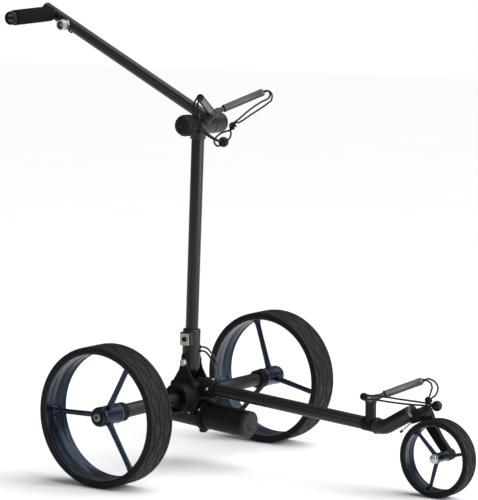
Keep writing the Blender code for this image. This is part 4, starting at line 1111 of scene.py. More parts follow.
class TROLLEY_OT_boom(bpy.types.Operator):
    """The front tube, the neck and the lower post"""
    bl_idname = "trolley.boom"
    bl_label = "Front boom"

    def execute(self, context):
        start = at(0.041, 0.0, tube_z(0.041))
        end = at(0.4872, 0.0, tube_z(0.4872))
        piece("front_boom_tube", bar(start, end, 0.0140, 96), paints()["tube"], "frame",
              ("front_tube",), 38.0)
        begin, bend, last = neck_path()
        axis = (bend[0] - begin).normalized()
        ahead = (last - bend[-1]).normalized()
        points = [begin, begin + axis * 0.0004, begin + axis * 0.0012, begin + axis * 0.0058,
                  begin + axis * 0.0068, begin + axis * 0.0072]
        radii = [0.0158, 0.0172, 0.0177, 0.0177, 0.0170, 0.0160]
        points += [p for p in bend if (p - begin).length > 0.0085]
        radii += [0.0160] * (len(points) - len(radii))
        points += [last - ahead * 0.0105, last - ahead * 0.0100, last - ahead * 0.0094,
                   last - ahead * 0.0006, last]
        radii += [0.0160, 0.0153, 0.0150, 0.0150, 0.0143]
        piece("front_neck_bend", swept(points, radii, 80), paints()["tube"], "frame",
              ("front_neck",), 30.0)
        ring = turned([(0.0138, 0.0), (0.0154, 0.0003), (0.0154, 0.0072), (0.0138, 0.0075)],
                      last - ahead * 0.0076, ahead, 80, True, None, 0.0003)
        piece("neck_end_ring", ring, paints()["dull_steel"], "frame", (), 38.0)
        foot = at(LOWER_REST_X, 0.0, 0.1420)
        post = turned([(0.0, 0.0), (0.0140, 0.0), (0.0128, 0.0045), (0.0116, 0.0085), (0.0115, 0.0365),
                       (0.0, 0.0365)], foot, UP, 80, False, None, 0.0008)
        piece("lower_rest_post", post, paints()["tube"], "frame", ("lower_post",), 38.0)
        saddle = turned([(0.0142, -0.0165), (0.0150, -0.0165), (0.0153, -0.0150), (0.0153, 0.0150),
                         (0.0150, 0.0165), (0.0142, 0.0165)],
                        at(LOWER_REST_X, 0.0, tube_z(LOWER_REST_X)), TUBE_WAY, 80, True, None, 0.0003)
        piece("lower_post_saddle", saddle, paints()["cast"], "frame", (), 38.0)
        return {"FINISHED"}


class TROLLEY_OT_fork(bpy.types.Operator):
    """The one-sided fork, its axle bolt and the tracking adjuster"""
    bl_idname = "trolley.fork"
    bl_label = "Front fork"

    def execute(self, context):
        cast_copy("front_fork_body", "front_fork", paints()["cast"], "frame", 0.0008, 5)
        axle = at(FRONT_X, 0.0, FRONT_RADIUS)
        bm = bar(axle - ACROSS * 0.0145, axle + ACROSS * 0.0585, 0.0040, 32)
        turned([(0.0, 0.0568), (0.0066, 0.0568), (0.0072, 0.0574), (0.0072, 0.0600), (0.0058, 0.0610),
                (0.0, 0.0610)], axle, ACROSS, 48, False, bm, 0.0003)
        turned([(0.0, -0.0150), (0.0100, -0.0150), (0.0104, -0.0145), (0.0104, -0.0133), (0.0, -0.0130)],
               axle, ACROSS, 48, False, bm, 0.0002)
        turned([(0.0, -0.0205), (0.0055, -0.0205), (0.0084, -0.0192), (0.0088, -0.0180), (0.0088, -0.0148),
                (0.0, -0.0148)], axle, ACROSS, 6, False, bm, 0.0)
        turned([(0.0, -0.0226), (0.0030, -0.0226), (0.0042, -0.0214), (0.0042, -0.0190), (0.0, -0.0190)],
               axle, ACROSS, 32, False, bm, 0.0004)
        piece("front_axle_nut_and_bolt", bm, paints()["steel"], "frame", ("front_axle_bolt",), 30.0)
        top = at(0.5705, 0.0, 0.1536)
        low = at(0.5386, 0.0, 0.1258)
        way = (top - low).normalized()
        long = (top - low).length
        tip = turned([(0.0, 0.0), (0.0020, 0.0), (0.0028, 0.0008), (0.0028, 0.0070), (0.0022, 0.0078),
                      (0.0, 0.0078)], low, way, 40, False, None, 0.0003)
        piece("tracking_tip", tip, paints()["plastic"], "frame", (), 38.0)
        rod = turned([(0.0, 0.0070), (0.0019, 0.0070), (0.0019, long - 0.0062), (0.0030, long - 0.0058),
                      (0.0030, long - 0.0006), (0.0, long - 0.0003)], low, way, 40, False, None, 0.0002)
        piece("tracking_rod", rod, paints()["steel"], "frame", ("tracking_adjuster",), 38.0)
        return {"FINISHED"}


class TROLLEY_OT_battery(bpy.types.Operator):
    """The battery tube and its end cap with a finger groove"""
    bl_idname = "trolley.battery"
    bl_label = "Battery"

    def execute(self, context):
        nose = at(*BATTERY_NOSE)
        long = BATTERY_LENGTH - BATTERY_CAP
        body = [(0.0, 0.0), (0.0272, 0.0), (BATTERY_RADIUS, 0.0020), (BATTERY_RADIUS, 0.0120),
                (BATTERY_RADIUS - 0.0006, 0.0124), (BATTERY_RADIUS - 0.0006, 0.0136),
                (BATTERY_RADIUS, 0.0140), (BATTERY_RADIUS, long - 0.0010), (BATTERY_RADIUS - 0.0006, long),
                (0.0, long)]
        bm = turned(body, nose - TUBE_WAY * BATTERY_LENGTH, TUBE_WAY, 128, False, None, 0.0003)
        piece("battery_case", bm, paints()["battery"], "frame", ("battery_tube",), 38.0)
        back = nose - TUBE_WAY * BATTERY_CAP
        cap = [(0.0, 0.0003), (BATTERY_RADIUS, 0.0003), (BATTERY_RADIUS, 0.0074),
               (BATTERY_RADIUS - 0.0016, 0.0090), (0.0262, 0.0090), (0.0258, 0.0083), (0.0252, 0.0083),
               (0.0248, 0.0090), (0.0, 0.0090)]
        bm = turned(cap, back, TUBE_WAY, 128, False, None, 0.0004)
        piece("battery_end_cap", bm, paints()["cap"], "frame", ("battery_cap",), 38.0)
        down = TUBE_WAY.cross(ACROSS).normalized()
        centre = nose + ACROSS * 0.0020
        reach = 0.0118
        steps = 30
        points = []
        for i in range(steps + 1):
            angle = math.radians(140.0 + 170.0 * i / steps)
            points.append(centre + ACROSS * math.cos(angle) * reach + down * math.sin(angle) * reach)
        radii = [0.0004 + 0.0009 * math.sin(math.pi * i / steps) ** 0.5 for i in range(steps + 1)]
        groove = swept(points, radii, 16)
        piece("battery_finger_mark", groove, paints()["battery"], "frame", (), 50.0)
        return {"FINISHED"}


class TROLLEY_OT_screws(bpy.types.Operator):
    """Small socket screws on the castings"""
    bl_idname = "trolley.screws"
    bl_label = "Screws"

    def execute(self, context):
        over = Vector((-TUBE_SLOPE, 0.0, 1.0)).normalized()
        middle = at(0.0555, 0.0, tube_z(0.0555))
        side = (Vector((0.0, -1.0, 0.0)) + 0.10 * over).normalized()
        side = (side - TUBE_WAY * side.dot(TUBE_WAY)).normalized()
        for name, axis in (("top", over), ("side", side)):
            made = set_on("socket_screw_%s_head" % name, [(middle + axis * 0.0203, axis)],
                          socket_screw(0.0036, 0.0028, 0.0004), paints()["steel"], "frame")
            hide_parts("socket_screw_" + name)
        places = [(at(0.0185, -0.0362, 0.1180), -ACROSS), (at(-0.0250, -0.0362, 0.1180), -ACROSS),
                  (at(0.0185, 0.0362, 0.1180), ACROSS), (at(-0.0250, 0.0362, 0.1180), ACROSS)]
        ring = at(*BATTERY_NOSE) - TUBE_WAY * 0.1180
        for degrees in (-28.0, 208.0):
            angle = math.radians(degrees)
            way = ACROSS * math.cos(angle) + TUBE_WAY.cross(ACROSS) * -math.sin(angle)
            way = (way - TUBE_WAY * way.dot(TUBE_WAY)).normalized()
            places.append((ring + way * 0.0344, way))
        set_on("casting_screws", places, socket_screw(0.0026, 0.0018, 0.0008), paints()["steel"], "frame")
        return {"FINISHED"}


# ---------------------------------------------------------------- bag rests
def arm_line(level, sign):
    """An arm's two ends and its direction, for the left arm (1) or the right (-1)."""
    root, tip = ARMS[level][:2]
    start = at(*root)
    end = at(tip[0], sign * tip[1], tip[2])
    return start, end, (end - start).normalized()


class TROLLEY_OT_rests(bpy.types.Operator):
    """The two bag rests with their rubber arm sleeves"""
    bl_idname = "trolley.rests"
    bl_label = "Bag rests"

    def execute(self, context):
        for level in ARMS:
            root, _, skirt, body = ARMS[level]
            solids = None
            for side, sign in (("right", -1.0), ("left", 1.0)):
                start, end, along = arm_line(level, sign)
                long = (end - start).length
                arm = turned([(0.0, 0.0), (0.0078, 0.0), (0.0072, 0.0160), (0.0056, 0.0230),
                              (0.0055, long - 0.0200), (0.0, long - 0.0200)], start, along, 40, False, None,
                             0.0006)
                bmesh.ops.recalc_face_normals(arm, faces=arm.faces)
                solids = joined(solids, arm)
                sleeve = [(0.0058, skirt), (0.0076, skirt), (0.0084, skirt + 0.0010),
                          (0.0084, skirt + 0.0042), (0.0079, skirt + 0.0048),
                          (0.0080, skirt + 0.0060), (0.0082, long * 0.6),
                          (0.0080, long - 0.0120), (0.0083, long - 0.0108), (0.0083, long - 0.0030),
                          (0.0072, long - 0.0004), (0.0062, long), (0.0058, long - 0.0012)]
                piece("%s_%s_sleeve" % (level, side), turned(sleeve, start, along, 64, True, None, 0.0003),
                      paints()["sleeve"], body, ("%s_%s_arm_sleeve" % (level, side),), 38.0)
            if level == "lower":
                base = at(root[0], 0.0, 0.0)
                hub = turned([(0.0, 0.1788), (0.0112, 0.1788), (0.0126, 0.1800), (0.0126, 0.1885),
                              (0.0112, 0.1930), (0.0080, 0.1962), (0.0, 0.1972)], base, UP, 64, False, None,
                             0.0008)
            else:
                hinge = at(*HINGE)
                way = (at(*root) - hinge).normalized()
                long = (at(*root) - hinge).length
                hub = turned([(0.0, HINGE_RADIUS + 0.0006), (0.0150, HINGE_RADIUS + 0.0006),
                              (0.0128, HINGE_RADIUS + 0.0050), (0.0104, HINGE_RADIUS + 0.0110),
                              (0.0100, long), (0.0088, long + 0.0052), (0.0050, long + 0.0086),
                              (0.0, long + 0.0092)], hinge, way, 64, False, None, 0.0010)
            bmesh.ops.recalc_face_normals(hub, faces=hub.faces)
            solids = joined(solids, hub)
            run_together(level + "_cradle_body", solids, paints()["tube"], body, 0.0007, 10,
                         (level + "_cradle",))
        return {"FINISHED"}


def side_way(along):
    """The direction square to an arm that points most nearly forward."""
    forward = Vector((1.0, 0.0, 0.0))
    return (forward - along * forward.dot(along)).normalized()


def strap_piece(name, route, body, node):
    """One elastic cord along its route."""
    points = smooth_route(route, 0.0022)
    bm = swept(points, CORD / 2.0, 14, None, True)
    made = piece(name, bm, paints()["cord"], body, (node,), 60.0)
    round(route_length(points), 4)
    return made


def overhand(name, node, centre, axis, body):
    """A small three-lobed knot of the same cord."""
    axis = axis.normalized()
    u, v = square_pair(axis)
    points = []
    for i in range(96):
        t = 2.0 * math.pi * i / 96
        reach = 0.0047 + 0.0021 * math.cos(3.0 * t)
        points.append(centre + (u * math.cos(2.0 * t) + v * math.sin(2.0 * t)) * reach
                      + axis * 0.0042 * math.sin(3.0 * t))
    bm = swept(points, CORD / 2.0, 14, None, True, True)
    return piece(name, bm, paints()["cord"], body, (node,), 60.0)


STRAPS = {
    "upper": {
        "near": [(0.1125, -0.1262, 0.8135), (0.1130, -0.1355, 0.8040), (0.1135, -0.1395, 0.7850),
                 (0.1145, -0.1355, 0.7660), (0.1160, -0.1215, 0.7480), (0.1180, -0.1010, 0.7345),
                 (0.1195, -0.0680, 0.7205)],
        "spread": (0.0024, (1.0, 0.0, 0.0)),
        "ball": (0.1200, -0.0471, 0.7161),
        "inner": [(0.1130, 0.1262, 0.8170), (0.1145, 0.1352, 0.8120), (0.1150, 0.1330, 0.8030),
                  (0.1165, 0.0943, 0.7925), (0.1180, 0.0524, 0.7790), (0.1190, 0.0090, 0.7608)],
        "outer": [(0.1165, 0.1268, 0.8165), (0.1185, 0.1372, 0.8085), (0.1190, 0.1355, 0.7975),
                  (0.1195, 0.1190, 0.7895), (0.1205, 0.0548, 0.7690), (0.1215, 0.0090, 0.7548)],
        "eye": [(0.1310, -0.0350, 0.7330), (0.1370, -0.0500, 0.7240), (0.1330, -0.0655, 0.7150),
                (0.1215, -0.0705, 0.7090), (0.1110, -0.0680, 0.7165), (0.1065, -0.0560, 0.7255),
                (0.1090, -0.0380, 0.7345)],
        "knot": ((0.1200, -0.0120, 0.7482), (0.0, -0.74, -0.67), (1.0, 0.0, 0.0)),
    },
    "lower": {
        "near": [(0.5275, -0.1250, 0.2180), (0.5370, -0.1270, 0.2180), (0.5455, -0.1150, 0.2165),
                 (0.5560, -0.0940, 0.2120), (0.5715, -0.0680, 0.2055), (0.5865, -0.0390, 0.1992),
                 (0.5985, -0.0175, 0.1950)],
        "spread": (0.0022, (0.0, 0.0, 1.0)),
        "ball": (0.6200, 0.0111, 0.1883),
        "inner": [(0.5265, 0.1250, 0.2165), (0.5330, 0.1285, 0.2120), (0.5450, 0.1160, 0.2060),
                  (0.5570, 0.0920, 0.2010), (0.5715, 0.0620, 0.1965), (0.5815, 0.0380, 0.1955)],
        "outer": [(0.5275, 0.1265, 0.2200), (0.5385, 0.1320, 0.2165), (0.5540, 0.1230, 0.2090),
                  (0.5680, 0.1010, 0.2035), (0.5810, 0.0700, 0.1985), (0.5875, 0.0420, 0.1965)],
        "eye": [(0.6030, 0.0075, 0.1985), (0.6125, -0.0045, 0.1985), (0.6160, -0.0110, 0.1905),
                (0.6080, -0.0050, 0.1820), (0.5995, 0.0015, 0.1850), (0.5965, 0.0075, 0.1900)],
        "knot": ((0.5930, 0.0215, 0.1950), (0.45, -0.88, -0.08), (0.75, 0.35, 0.55)),
    },
}


class TROLLEY_OT_straps(bpy.types.Operator):
    """Elastic bag straps with their balls and knots"""
    bl_idname = "trolley.straps"
    bl_label = "Straps"

    def execute(self, context):
        pitch = CORD / 2.0 + 0.00025
        for level, plan in STRAPS.items():
            body = ARMS[level][3]
            ball_centre = at(*plan["ball"])
            arrive = (ball_centre - at(*plan["near"][-1])).normalized()
            bead = bmesh.new()
            bmesh.ops.create_uvsphere(bead, u_segments=48, v_segments=32, radius=BALL)
            bmesh.ops.translate(bead, vec=ball_centre, verts=bead.verts)
            turned([(0.0, -BALL - 0.0004), (0.0046, -BALL - 0.0004), (0.0050, -BALL + 0.0022),
                    (0.0, -BALL + 0.0026)], ball_centre, arrive, 40, False, bead, 0.0004)
            ball = piece(level + "_ball", bead, paints()["ball"], body, (level + "_strap_ball",), 50.0)
            _, end, along = arm_line(level, -1.0)
            side = side_way(along)
            beside = side if level == "upper" else along.cross(side)
            last = Vector(plan["spread"][1])
            last = (last - arrive * last.dot(arrive)).normalized()
            if beside.dot(last) < 0.0:
                beside = -beside
            stop = ball_centre - arrive * (BALL - 0.0020)
            for label, sign in (("a", -1.0), ("b", 1.0)):
                route = [end + along * step + beside * (sign * pitch) for step in (-0.0150, -0.004, 0.004)]
                count = len(plan["near"])
                for i, place in enumerate(plan["near"]):
                    share = (i + 1.0) / (count + 1.0)
                    way = beside.lerp(last, share).normalized()
                    extra = plan["spread"][0] * math.sin(math.pi * share)
                    route.append(at(*place) + way * (sign * (pitch + extra)))
                route.append(stop + last * (sign * pitch))
                strap_piece("%s_strap_%s" % (level, label), route, body,
                            "%s_right_strap_%s" % (level, label))
            _, end, along = arm_line(level, 1.0)
            side = side_way(along)
            beside = side if level == "upper" else along.cross(side)
            centre = at(*plan["knot"][0])
            axis = Vector(plan["knot"][1]).normalized()
            across = Vector(plan["knot"][2])
            across = (across - axis * across.dot(axis)).normalized()
            route = [end + along * step - beside * pitch for step in (-0.0150, -0.004, 0.004)]
            route += [at(*place) for place in plan["inner"]]
            passage = (-0.0100, -0.0050, 0.0, 0.0050, 0.0100)
            route += [centre + axis * step - across * pitch for step in passage]
            route += [at(*place) for place in plan["eye"]]
            route += [centre - axis * step + across * pitch for step in passage]
            route += [at(*place) for place in reversed(plan["outer"])]
            route += [end + along * step + beside * pitch for step in (0.004, -0.004, -0.0150)]
            knot = overhand(level + "_knot", level + "_strap_knot", centre, axis, body)
            strap_piece(level + "_loop", route, body, level + "_left_strap_loop")
        return {"FINISHED"}


# ---------------------------------------------------------------- upright, hinge and handle
def upright_line():
    """A function from height to a place on the upright's middle line, and the line's direction."""
    foot = at(UPRIGHT_FOOT[0], 0.0, UPRIGHT_FOOT[1])
    head = at(UPRIGHT_HEAD[0], 0.0, UPRIGHT_HEAD[1])
    up = (head - foot).normalized()
    return lambda z: foot + up * ((z - UPRIGHT_FOOT[1]) / up.z), up


class TROLLEY_OT_upright(bpy.types.Operator):
    """The upright tube, its sleeve and the latch"""
    bl_idname = "trolley.upright"
    bl_label = "Upright"

    def execute(self, context):
        level, up = upright_line()
        piece("upright_post", bar(level(0.2628), level(0.7390), 0.0139, 112), paints()["tube"], "upright",
              ("upright_tube",), 38.0)
        base = level(0.1950)
        top = (level(0.2975) - base).length
        profile = [(0.0, 0.0)]
        for i in range(1, 13):
            angle = math.radians(7.5 * i)
            profile.append((0.0195 * math.sin(angle), 0.0195 * (1.0 - math.cos(angle))))
        profile += [(0.0195, top - 0.0022), (0.0175, top), (0.0146, top), (0.0140, top - 0.0020),
                    (0.0, top - 0.0020)]
        bm = turned(profile, base, up, 112, False, None, 0.0006)
        boss = block((-0.0145, -0.0243, 0.2620), (0.0145, -0.0100, 0.2920), 0.0022, 4)
        joined(bm, bored(boss, at(0.0, -0.0300, 0.2770), at(0.0, 0.0, 0.2770), 0.0058))
        piece("upright_socket", bm, paints()["tube"], "upright", ("upright_sleeve",), 38.0)
        cast_copy("latch_plate_body", "latch_plate", paints()["plate"], "upright", 0.0004, 3)
        button = [(0.0, 0.0012), (0.0053, 0.0012), (0.0053, 0.0078), (0.0044, 0.0092), (0.0030, 0.0094),
                  (0.0024, 0.0086), (0.0, 0.0084)]
        bm = turned(button, at(0.0, -0.0220, 0.2770), -ACROSS, 56, False, None, 0.0004)
        piece("latch_press_button", bm, paints()["plastic"], "latch_button", ("latch_button",), 38.0)
        return {"FINISHED"}


class TROLLEY_OT_hinge(bpy.types.Operator):
    """The handle's hinge barrels and the ribbed knob"""
    bl_idname = "trolley.hinge"
    bl_label = "Handle hinge"

    def execute(self, context):
        s = context.scene.trolley_sizes
        level, up = upright_line()
        hinge = at(*HINGE)
        barrel = [(0.0, -0.0175), (0.0205, -0.0175), (HINGE_RADIUS, -0.0155), (HINGE_RADIUS, 0.0380),
                  (HINGE_RADIUS - 0.0010, 0.0393), (0.0, 0.0395)]
        bm = turned(barrel, hinge, ACROSS, 128, False, None, 0.0008)
        turned([(0.0, 0.0), (0.0158, 0.0), (0.0172, 0.0010), (0.0172, 0.0180), (0.0185, 0.0250),
                (0.0, 0.0300)], level(0.7150), up, 96, False, bm, 0.0008)
        piece("hinge_body", bm, paints()["tube"], "upright", ("hinge_barrel",), 38.0)
        knob = [(0.0, 0.0180), (0.0155, 0.0180), (0.0185, 0.0250), (0.0218, 0.0310), (0.0224, 0.0330),
                (0.0224, 0.0520), (0.0218, 0.0545), (0.0200, 0.0590), (0.0168, 0.0622), (0.0120, 0.0640),
                (0.0105, 0.0636), (0.0098, 0.0628), (0.0090, 0.0636), (0.0, 0.0645)]
        bm = turned(knob, hinge, -ACROSS, 112, False, None, 0.0007)
        bar(hinge - ACROSS * 0.0210, hinge + ACROSS * 0.0770, 0.0060, 40, bm)
        piece("hinge_knob_body", bm, paints()["knob"], "hinge_knob", ("hinge_knob",), 30.0)
        rib_ring("hinge_knob_ribs", s.knob_ribs, 0.0222, s.rib_width, 0.0205, hinge - ACROSS * 0.0425,
                 ACROSS, paints()["knob"], "hinge_knob")
        return {"FINISHED"}


class TROLLEY_OT_handle(bpy.types.Operator):
    """The handle tube with its grip, speed dial and accessory socket"""
    bl_idname = "trolley.handle"
    bl_label = "Handle"

    def execute(self, context):
        s = context.scene.trolley_sizes
        hinge = at(*HINGE)
        foot = at(HINGE[0], CORNER[1], HINGE[2])
        corner = at(*CORNER)
        along = (corner - foot).normalized()
        barrel = [(0.0, 0.0399), (HINGE_RADIUS - 0.0010, 0.0400), (HINGE_RADIUS, 0.0412),
                  (HINGE_RADIUS, 0.0600), (HINGE_RADIUS - 0.0005, 0.0605), (HINGE_RADIUS - 0.0005, 0.0615),
                  (HINGE_RADIUS, 0.0620), (HINGE_RADIUS, 0.0795), (HINGE_RADIUS - 0.0030, 0.0825),
                  (0.0, 0.0825)]
        bm = turned(barrel, hinge, ACROSS, 128, False, None, 0.0007)
        turned([(0.0, 0.0), (0.0165, 0.0), (0.0158, 0.0140), (0.0158, 0.0193), (0.0150, 0.0200),
                (0.0, 0.0200)], foot + along * 0.010, along, 96, False, bm, 0.0007)
        piece("handle_hinge_body", bm, paints()["tube"], "handle", ("handle_barrel",), 38.0)

        drop = math.radians(2.9)
        grip_axis = Vector((0.0, -math.cos(drop), -math.sin(drop)))
        start = foot + along * 0.0100
        long = (corner - start).length + BEYOND_GRIP
        stem = [(0.0, 0.0), (0.0130, 0.0), (0.0130, long - 0.0022), (0.0122, long - 0.0006),
                (0.0108, long), (0.0, long)]
        bm = turned(stem, start, along, 112, False, None, 0.0005)
        bar(corner, corner + grip_axis * (GRIP_SPAN[1] - 0.004), 0.0128, 80, bm)
        piece("handle_bar", bm, paints()["tube"], "handle", ("handle_tube",), 45.0)

        low, high = GRIP_SPAN
        grip = [(0.0133, low), (0.0150, low - 0.0002), (0.0166, low + 0.0010), (0.0172, low + 0.0035),
                (0.0173, (low + high) / 2.0), (0.0172, high - 0.0030), (0.0166, high - 0.0004),
                (0.0133, high)]
        piece("grip_foam_sleeve", turned(grip, corner, grip_axis, 96, True, None, 0.0004), paints()["foam"],
              "handle", ("grip",), 50.0)

        begin = high + 0.0003
        dial = [(0.0, begin), (0.0138, begin), (0.0138, begin + 0.0014), (0.0150, begin + 0.0020),
                (0.0152, begin + 0.0040), (0.0152, begin + 0.0110), (0.0146, begin + 0.0132),
                (0.0136, begin + 0.0138), (0.0118, begin + 0.0136), (0.0110, begin + 0.0120),
                (0.0107, begin + 0.0088), (0.0, begin + 0.0088)]
        piece("speed_dial_body", turned(dial, corner, grip_axis, 96, False, None, 0.0005),
              paints()["plastic"], "speed_dial", ("speed_dial",), 38.0)
        face = turned([(0.0, begin + 0.0086), (0.0100, begin + 0.0086), (0.0100, begin + 0.0094),
                       (0.0094, begin + 0.0098), (0.0, begin + 0.0098)],
                      corner, grip_axis, 72, False, None, 0.0003)
        piece("speed_dial_face", face, paints()["dial"], "speed_dial", (), 38.0)
        centre = corner + grip_axis * (begin + 0.0102)
        flat = (UP - grip_axis * UP.dot(grip_axis)).normalized()
        wide = grip_axis.cross(flat)
        ridge = loft([rounded_section(centre + wide * x, flat, grip_axis, w, 0.0030, 3.0)
                      for x, w in ((-0.0088, 0.0040), (-0.0070, 0.0062), (0.0, 0.0070), (0.0070, 0.0062),
                                   (0.0088, 0.0040))])
        piece("speed_dial_ridge", ridge, paints()["plastic"], "speed_dial", (), 38.0)

        mount = at(-0.384, CORNER[1], 0.9549)
        shell = [(0.0, 0.0135), (0.0105, 0.0135), (0.0116, 0.0145), (0.0116, 0.0180), (0.0113, 0.0185),
                 (0.0113, 0.0330), (0.0117, 0.0335), (0.0117, 0.0352), (0.0110, 0.0360), (0.0092, 0.0360),
                 (0.0084, 0.0352), (0.0084, 0.0200), (0.0, 0.0200)]
        bm = turned(shell, mount, grip_axis, 80, False, None, 0.0003)
        piece("accessory_socket_body", bm, paints()["steel"], "handle", ("accessory_socket",), 38.0)
        rib_ring("accessory_socket_knurls", s.knurls, 0.0114, s.knurl_width, 0.0140,
                 mount + grip_axis * 0.0258, grip_axis, paints()["steel"], "handle")
        liner = turned([(0.0060, 0.0204), (0.0083, 0.0204), (0.0083, 0.0338), (0.0074, 0.0346),
                        (0.0060, 0.0330)], mount, grip_axis, 64, True, None, 0.0003)
        piece("accessory_socket_liner", liner, paints()["plastic"], "handle", (), 38.0)
        plug = turned([(0.0, 0.0202), (0.0056, 0.0202), (0.0056, 0.0316), (0.0044, 0.0326), (0.0, 0.0326)],
                      mount, grip_axis, 48, False, None, 0.0004)
        piece("accessory_socket_plug", plug, paints()["dull_steel"], "handle", (), 38.0)
        below = (-UP + along * UP.dot(along)).normalized()
        pin_place = at(-0.3735, CORNER[1], 0.9549 - 0.0105 * 0.516)
        lean = (below - ACROSS * 0.45).normalized()
        boss = turned([(0.0, 0.0), (0.0060, 0.0), (0.0060, 0.0040), (0.0050, 0.0054), (0.0, 0.0056)],
                      pin_place + lean * 0.0105, lean, 48, False, None, 0.0006)
        piece("handle_stop_boss", boss, paints()["cast"], "handle", (), 38.0)
        side = (below - ACROSS * 1.15).normalized()
        set_on("handle_stop_pin", [(pin_place + along * -0.004 + side * 0.0134, side)],
               socket_screw(0.0022, 0.0014, 0.0008), paints()["steel"], "handle")
        return {"FINISHED"}


class TROLLEY_OT_leads(bpy.types.Operator):
    """The two motor leads between the upright and the casting"""
    bl_idname = "trolley.leads"
    bl_label = "Motor leads"

    def execute(self, context):
        level, _ = upright_line()
        away = Vector((0.817, 0.577, 0.0))
        routes = {
            "front": (0.2570, [(0.0268, 0.0188, 0.2545), (0.0370, 0.0225, 0.2440), (0.0490, 0.0230, 0.2265),
                               (0.0575, 0.0215, 0.2080), (0.0600, 0.0160, 0.1955)], 0.0600),
            "rear": (0.2480, [(0.0250, 0.0178, 0.2455), (0.0335, 0.0208, 0.2360), (0.0430, 0.0205, 0.2200),
                              (0.0500, 0.0190, 0.2050), (0.0528, 0.0150, 0.1955)], 0.0530),
        }
        for name, (z, places, last_x) in routes.items():
            centre = level(z)
            route = [centre + away * 0.0150, centre + away * 0.0225] + [at(*p) for p in places]
            route += [at(last_x, 0.0116, 0.1900), at(last_x, 0.0115, 0.1860), at(last_x, 0.0115, 0.1822)]
            points = smooth_route(route, 0.0022)
            bm = swept(points, LEAD / 2.0, 16, None, True)
            made = piece("motor_lead_" + name + "_sheath", bm, paints()["lead"], None,
                         ("motor_lead_" + name,), 60.0)
            tuple(at(last_x, 0.0115, 0.1900))
            tuple(centre + away * 0.0225)
            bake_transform(made)
            collar = turned([(0.0022, 0.0), (0.0042, 0.0), (0.0042, 0.0016), (0.0030, 0.0034),
                             (0.0022, 0.0034)], centre + away * 0.0188, away, 32, True, None, 0.0003)
            piece("motor_lead_" + name + "_boot", collar, paints()["plastic"], "upright", (), 38.0)
        return {"FINISHED"}


# ---------------------------------------------------------------- stage
def area_light(name, place, target, size, power, colour=(1.0, 1.0, 1.0)):
    data = bpy.data.lights.new(name, "AREA")
    data.shape = "RECTANGLE"
    data.size, data.size_y = size
    data.energy = power
    data.color = colour
    light = bpy.data.objects.new(name, data)
    bpy.context.scene.collection.objects.link(light)
    light.location = place
    light.rotation_euler = (Vector(target) - Vector(place)).to_track_quat("-Z", "Y").to_euler()


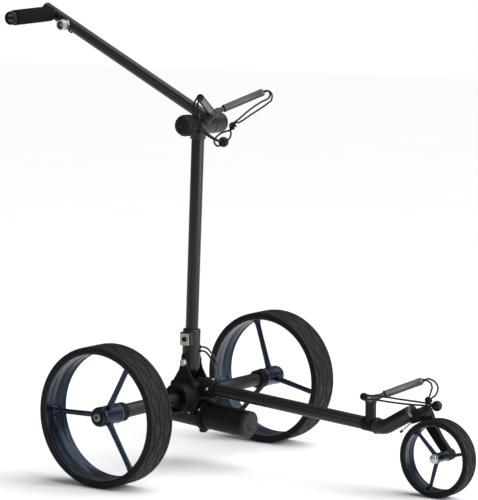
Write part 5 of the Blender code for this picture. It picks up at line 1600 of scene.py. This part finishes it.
class TROLLEY_OT_stage(bpy.types.Operator):
    """A pale floor, soft light and the camera"""
    bl_idname = "trolley.stage"
    bl_label = "Stage"

    def execute(self, context):
        mesh = bpy.data.meshes.new("floor")
        bm = bmesh.new()
        bmesh.ops.create_grid(bm, x_segments=1, y_segments=1, size=14.0)
        bmesh.ops.translate(bm, vec=(0.0, 0.0, -0.0005), verts=bm.verts)
        bm.to_mesh(mesh)
        bm.free()
        floor = bpy.data.objects.new("floor", mesh)
        context.scene.collection.objects.link(floor)
        pale = Finish("pale_floor", 0.75, 0.0, Specular_IOR_Level=0.1)
        cloud = pale.noise(1.5, 2.0)
        pale.colour(pale.mix(cloud, (0.93, 0.93, 0.93), (0.95, 0.95, 0.95)))
        mesh.materials.append(pale.material)

        world = bpy.data.worlds.new("soft_room")
        world.use_nodes = True
        tree = world.node_tree
        room = tree.nodes["Background"]
        room.inputs["Color"].default_value = (0.93, 0.95, 1.0, 1.0)
        room.inputs["Strength"].default_value = 0.20
        # The backdrop is plain white, while what falls on the trolley stays dim.
        backdrop = tree.nodes.new("ShaderNodeBackground")
        backdrop.inputs["Color"].default_value = (1.0, 1.0, 1.0, 1.0)
        either = tree.nodes.new("ShaderNodeMixShader")
        seen = tree.nodes.new("ShaderNodeLightPath")
        tree.links.new(seen.outputs["Is Camera Ray"], either.inputs[0])
        tree.links.new(room.outputs[0], either.inputs[1])
        tree.links.new(backdrop.outputs[0], either.inputs[2])
        tree.links.new(either.outputs[0], tree.nodes["World Output"].inputs["Surface"])
        context.scene.world = world

        sun = bpy.data.lights.new("overhead", "SUN")
        sun.energy = 3.1
        sun.angle = math.radians(75.0)
        overhead = bpy.data.objects.new("overhead", sun)
        context.scene.collection.objects.link(overhead)
        overhead.rotation_euler = Vector((-0.42, -0.30, -1.0)).to_track_quat("-Z", "Y").to_euler()
        area_light("side_softbox", (3.2, 0.9, 1.25), (0.0, 0.0, 0.45), (2.6, 2.2), 105.0, (0.93, 0.94, 1.0))
        area_light("front_softbox", (-1.2, -3.6, 2.4), (0.0, 0.0, 0.4), (0.8, 1.2), 18.0)

        data = bpy.data.cameras.new("view")
        data.sensor_width = 36.0
        data.lens = 187.0
        data.clip_end = 60.0
        camera = bpy.data.objects.new("view", data)
        context.scene.collection.objects.link(camera)
        camera.location = (3.2106, -4.5459, 1.1477)
        way = Vector((0.0269, -0.0342, 0.4849)) - camera.location
        camera.rotation_euler = way.to_track_quat("-Z", "Y").to_euler()
        context.scene.camera = camera
        context.scene.view_settings.view_transform = "Standard"
        return {"FINISHED"}


OPERATORS = (TROLLEY_OT_stage, TROLLEY_OT_tyres, TROLLEY_OT_rims, TROLLEY_OT_spiders, TROLLEY_OT_axles,
             TROLLEY_OT_casting, TROLLEY_OT_boom, TROLLEY_OT_fork, TROLLEY_OT_battery, TROLLEY_OT_screws,
             TROLLEY_OT_rests, TROLLEY_OT_straps, TROLLEY_OT_upright, TROLLEY_OT_hinge, TROLLEY_OT_handle,
             TROLLEY_OT_leads)


class TROLLEY_PT_panel(bpy.types.Panel):
    """Sizes, colours and pieces of the trolley"""
    bl_idname = "TROLLEY_PT_panel"
    bl_label = "Golf trolley"
    bl_space_type = "VIEW_3D"
    bl_region_type = "UI"
    bl_category = "Trolley"

    def draw(self, context):
        for group in (context.scene.trolley_sizes, context.scene.trolley_colours):
            box = self.layout.box()
            for name in group.bl_rna.properties.keys():
                if name not in ("rna_type", "name"):
                    box.prop(group, name)
        column = self.layout.column(align=True)
        for operator in OPERATORS:
            column.operator(operator.bl_idname)


CLASSES = (TrolleySizes, TrolleyColours) + OPERATORS + (TROLLEY_PT_panel,)


def register():
    for each in CLASSES:
        bpy.utils.register_class(each)
    bpy.types.Scene.trolley_sizes = bpy.props.PointerProperty(type=TrolleySizes)
    bpy.types.Scene.trolley_colours = bpy.props.PointerProperty(type=TrolleyColours)


def unregister():
    del bpy.types.Scene.trolley_colours
    del bpy.types.Scene.trolley_sizes
    for each in reversed(CLASSES):
        bpy.utils.unregister_class(each)


def main():
    register()
    for operator in OPERATORS:
        group, name = operator.bl_idname.split(".")
        getattr(getattr(bpy.ops, group), name)()


if __name__ == "__main__":
    main()
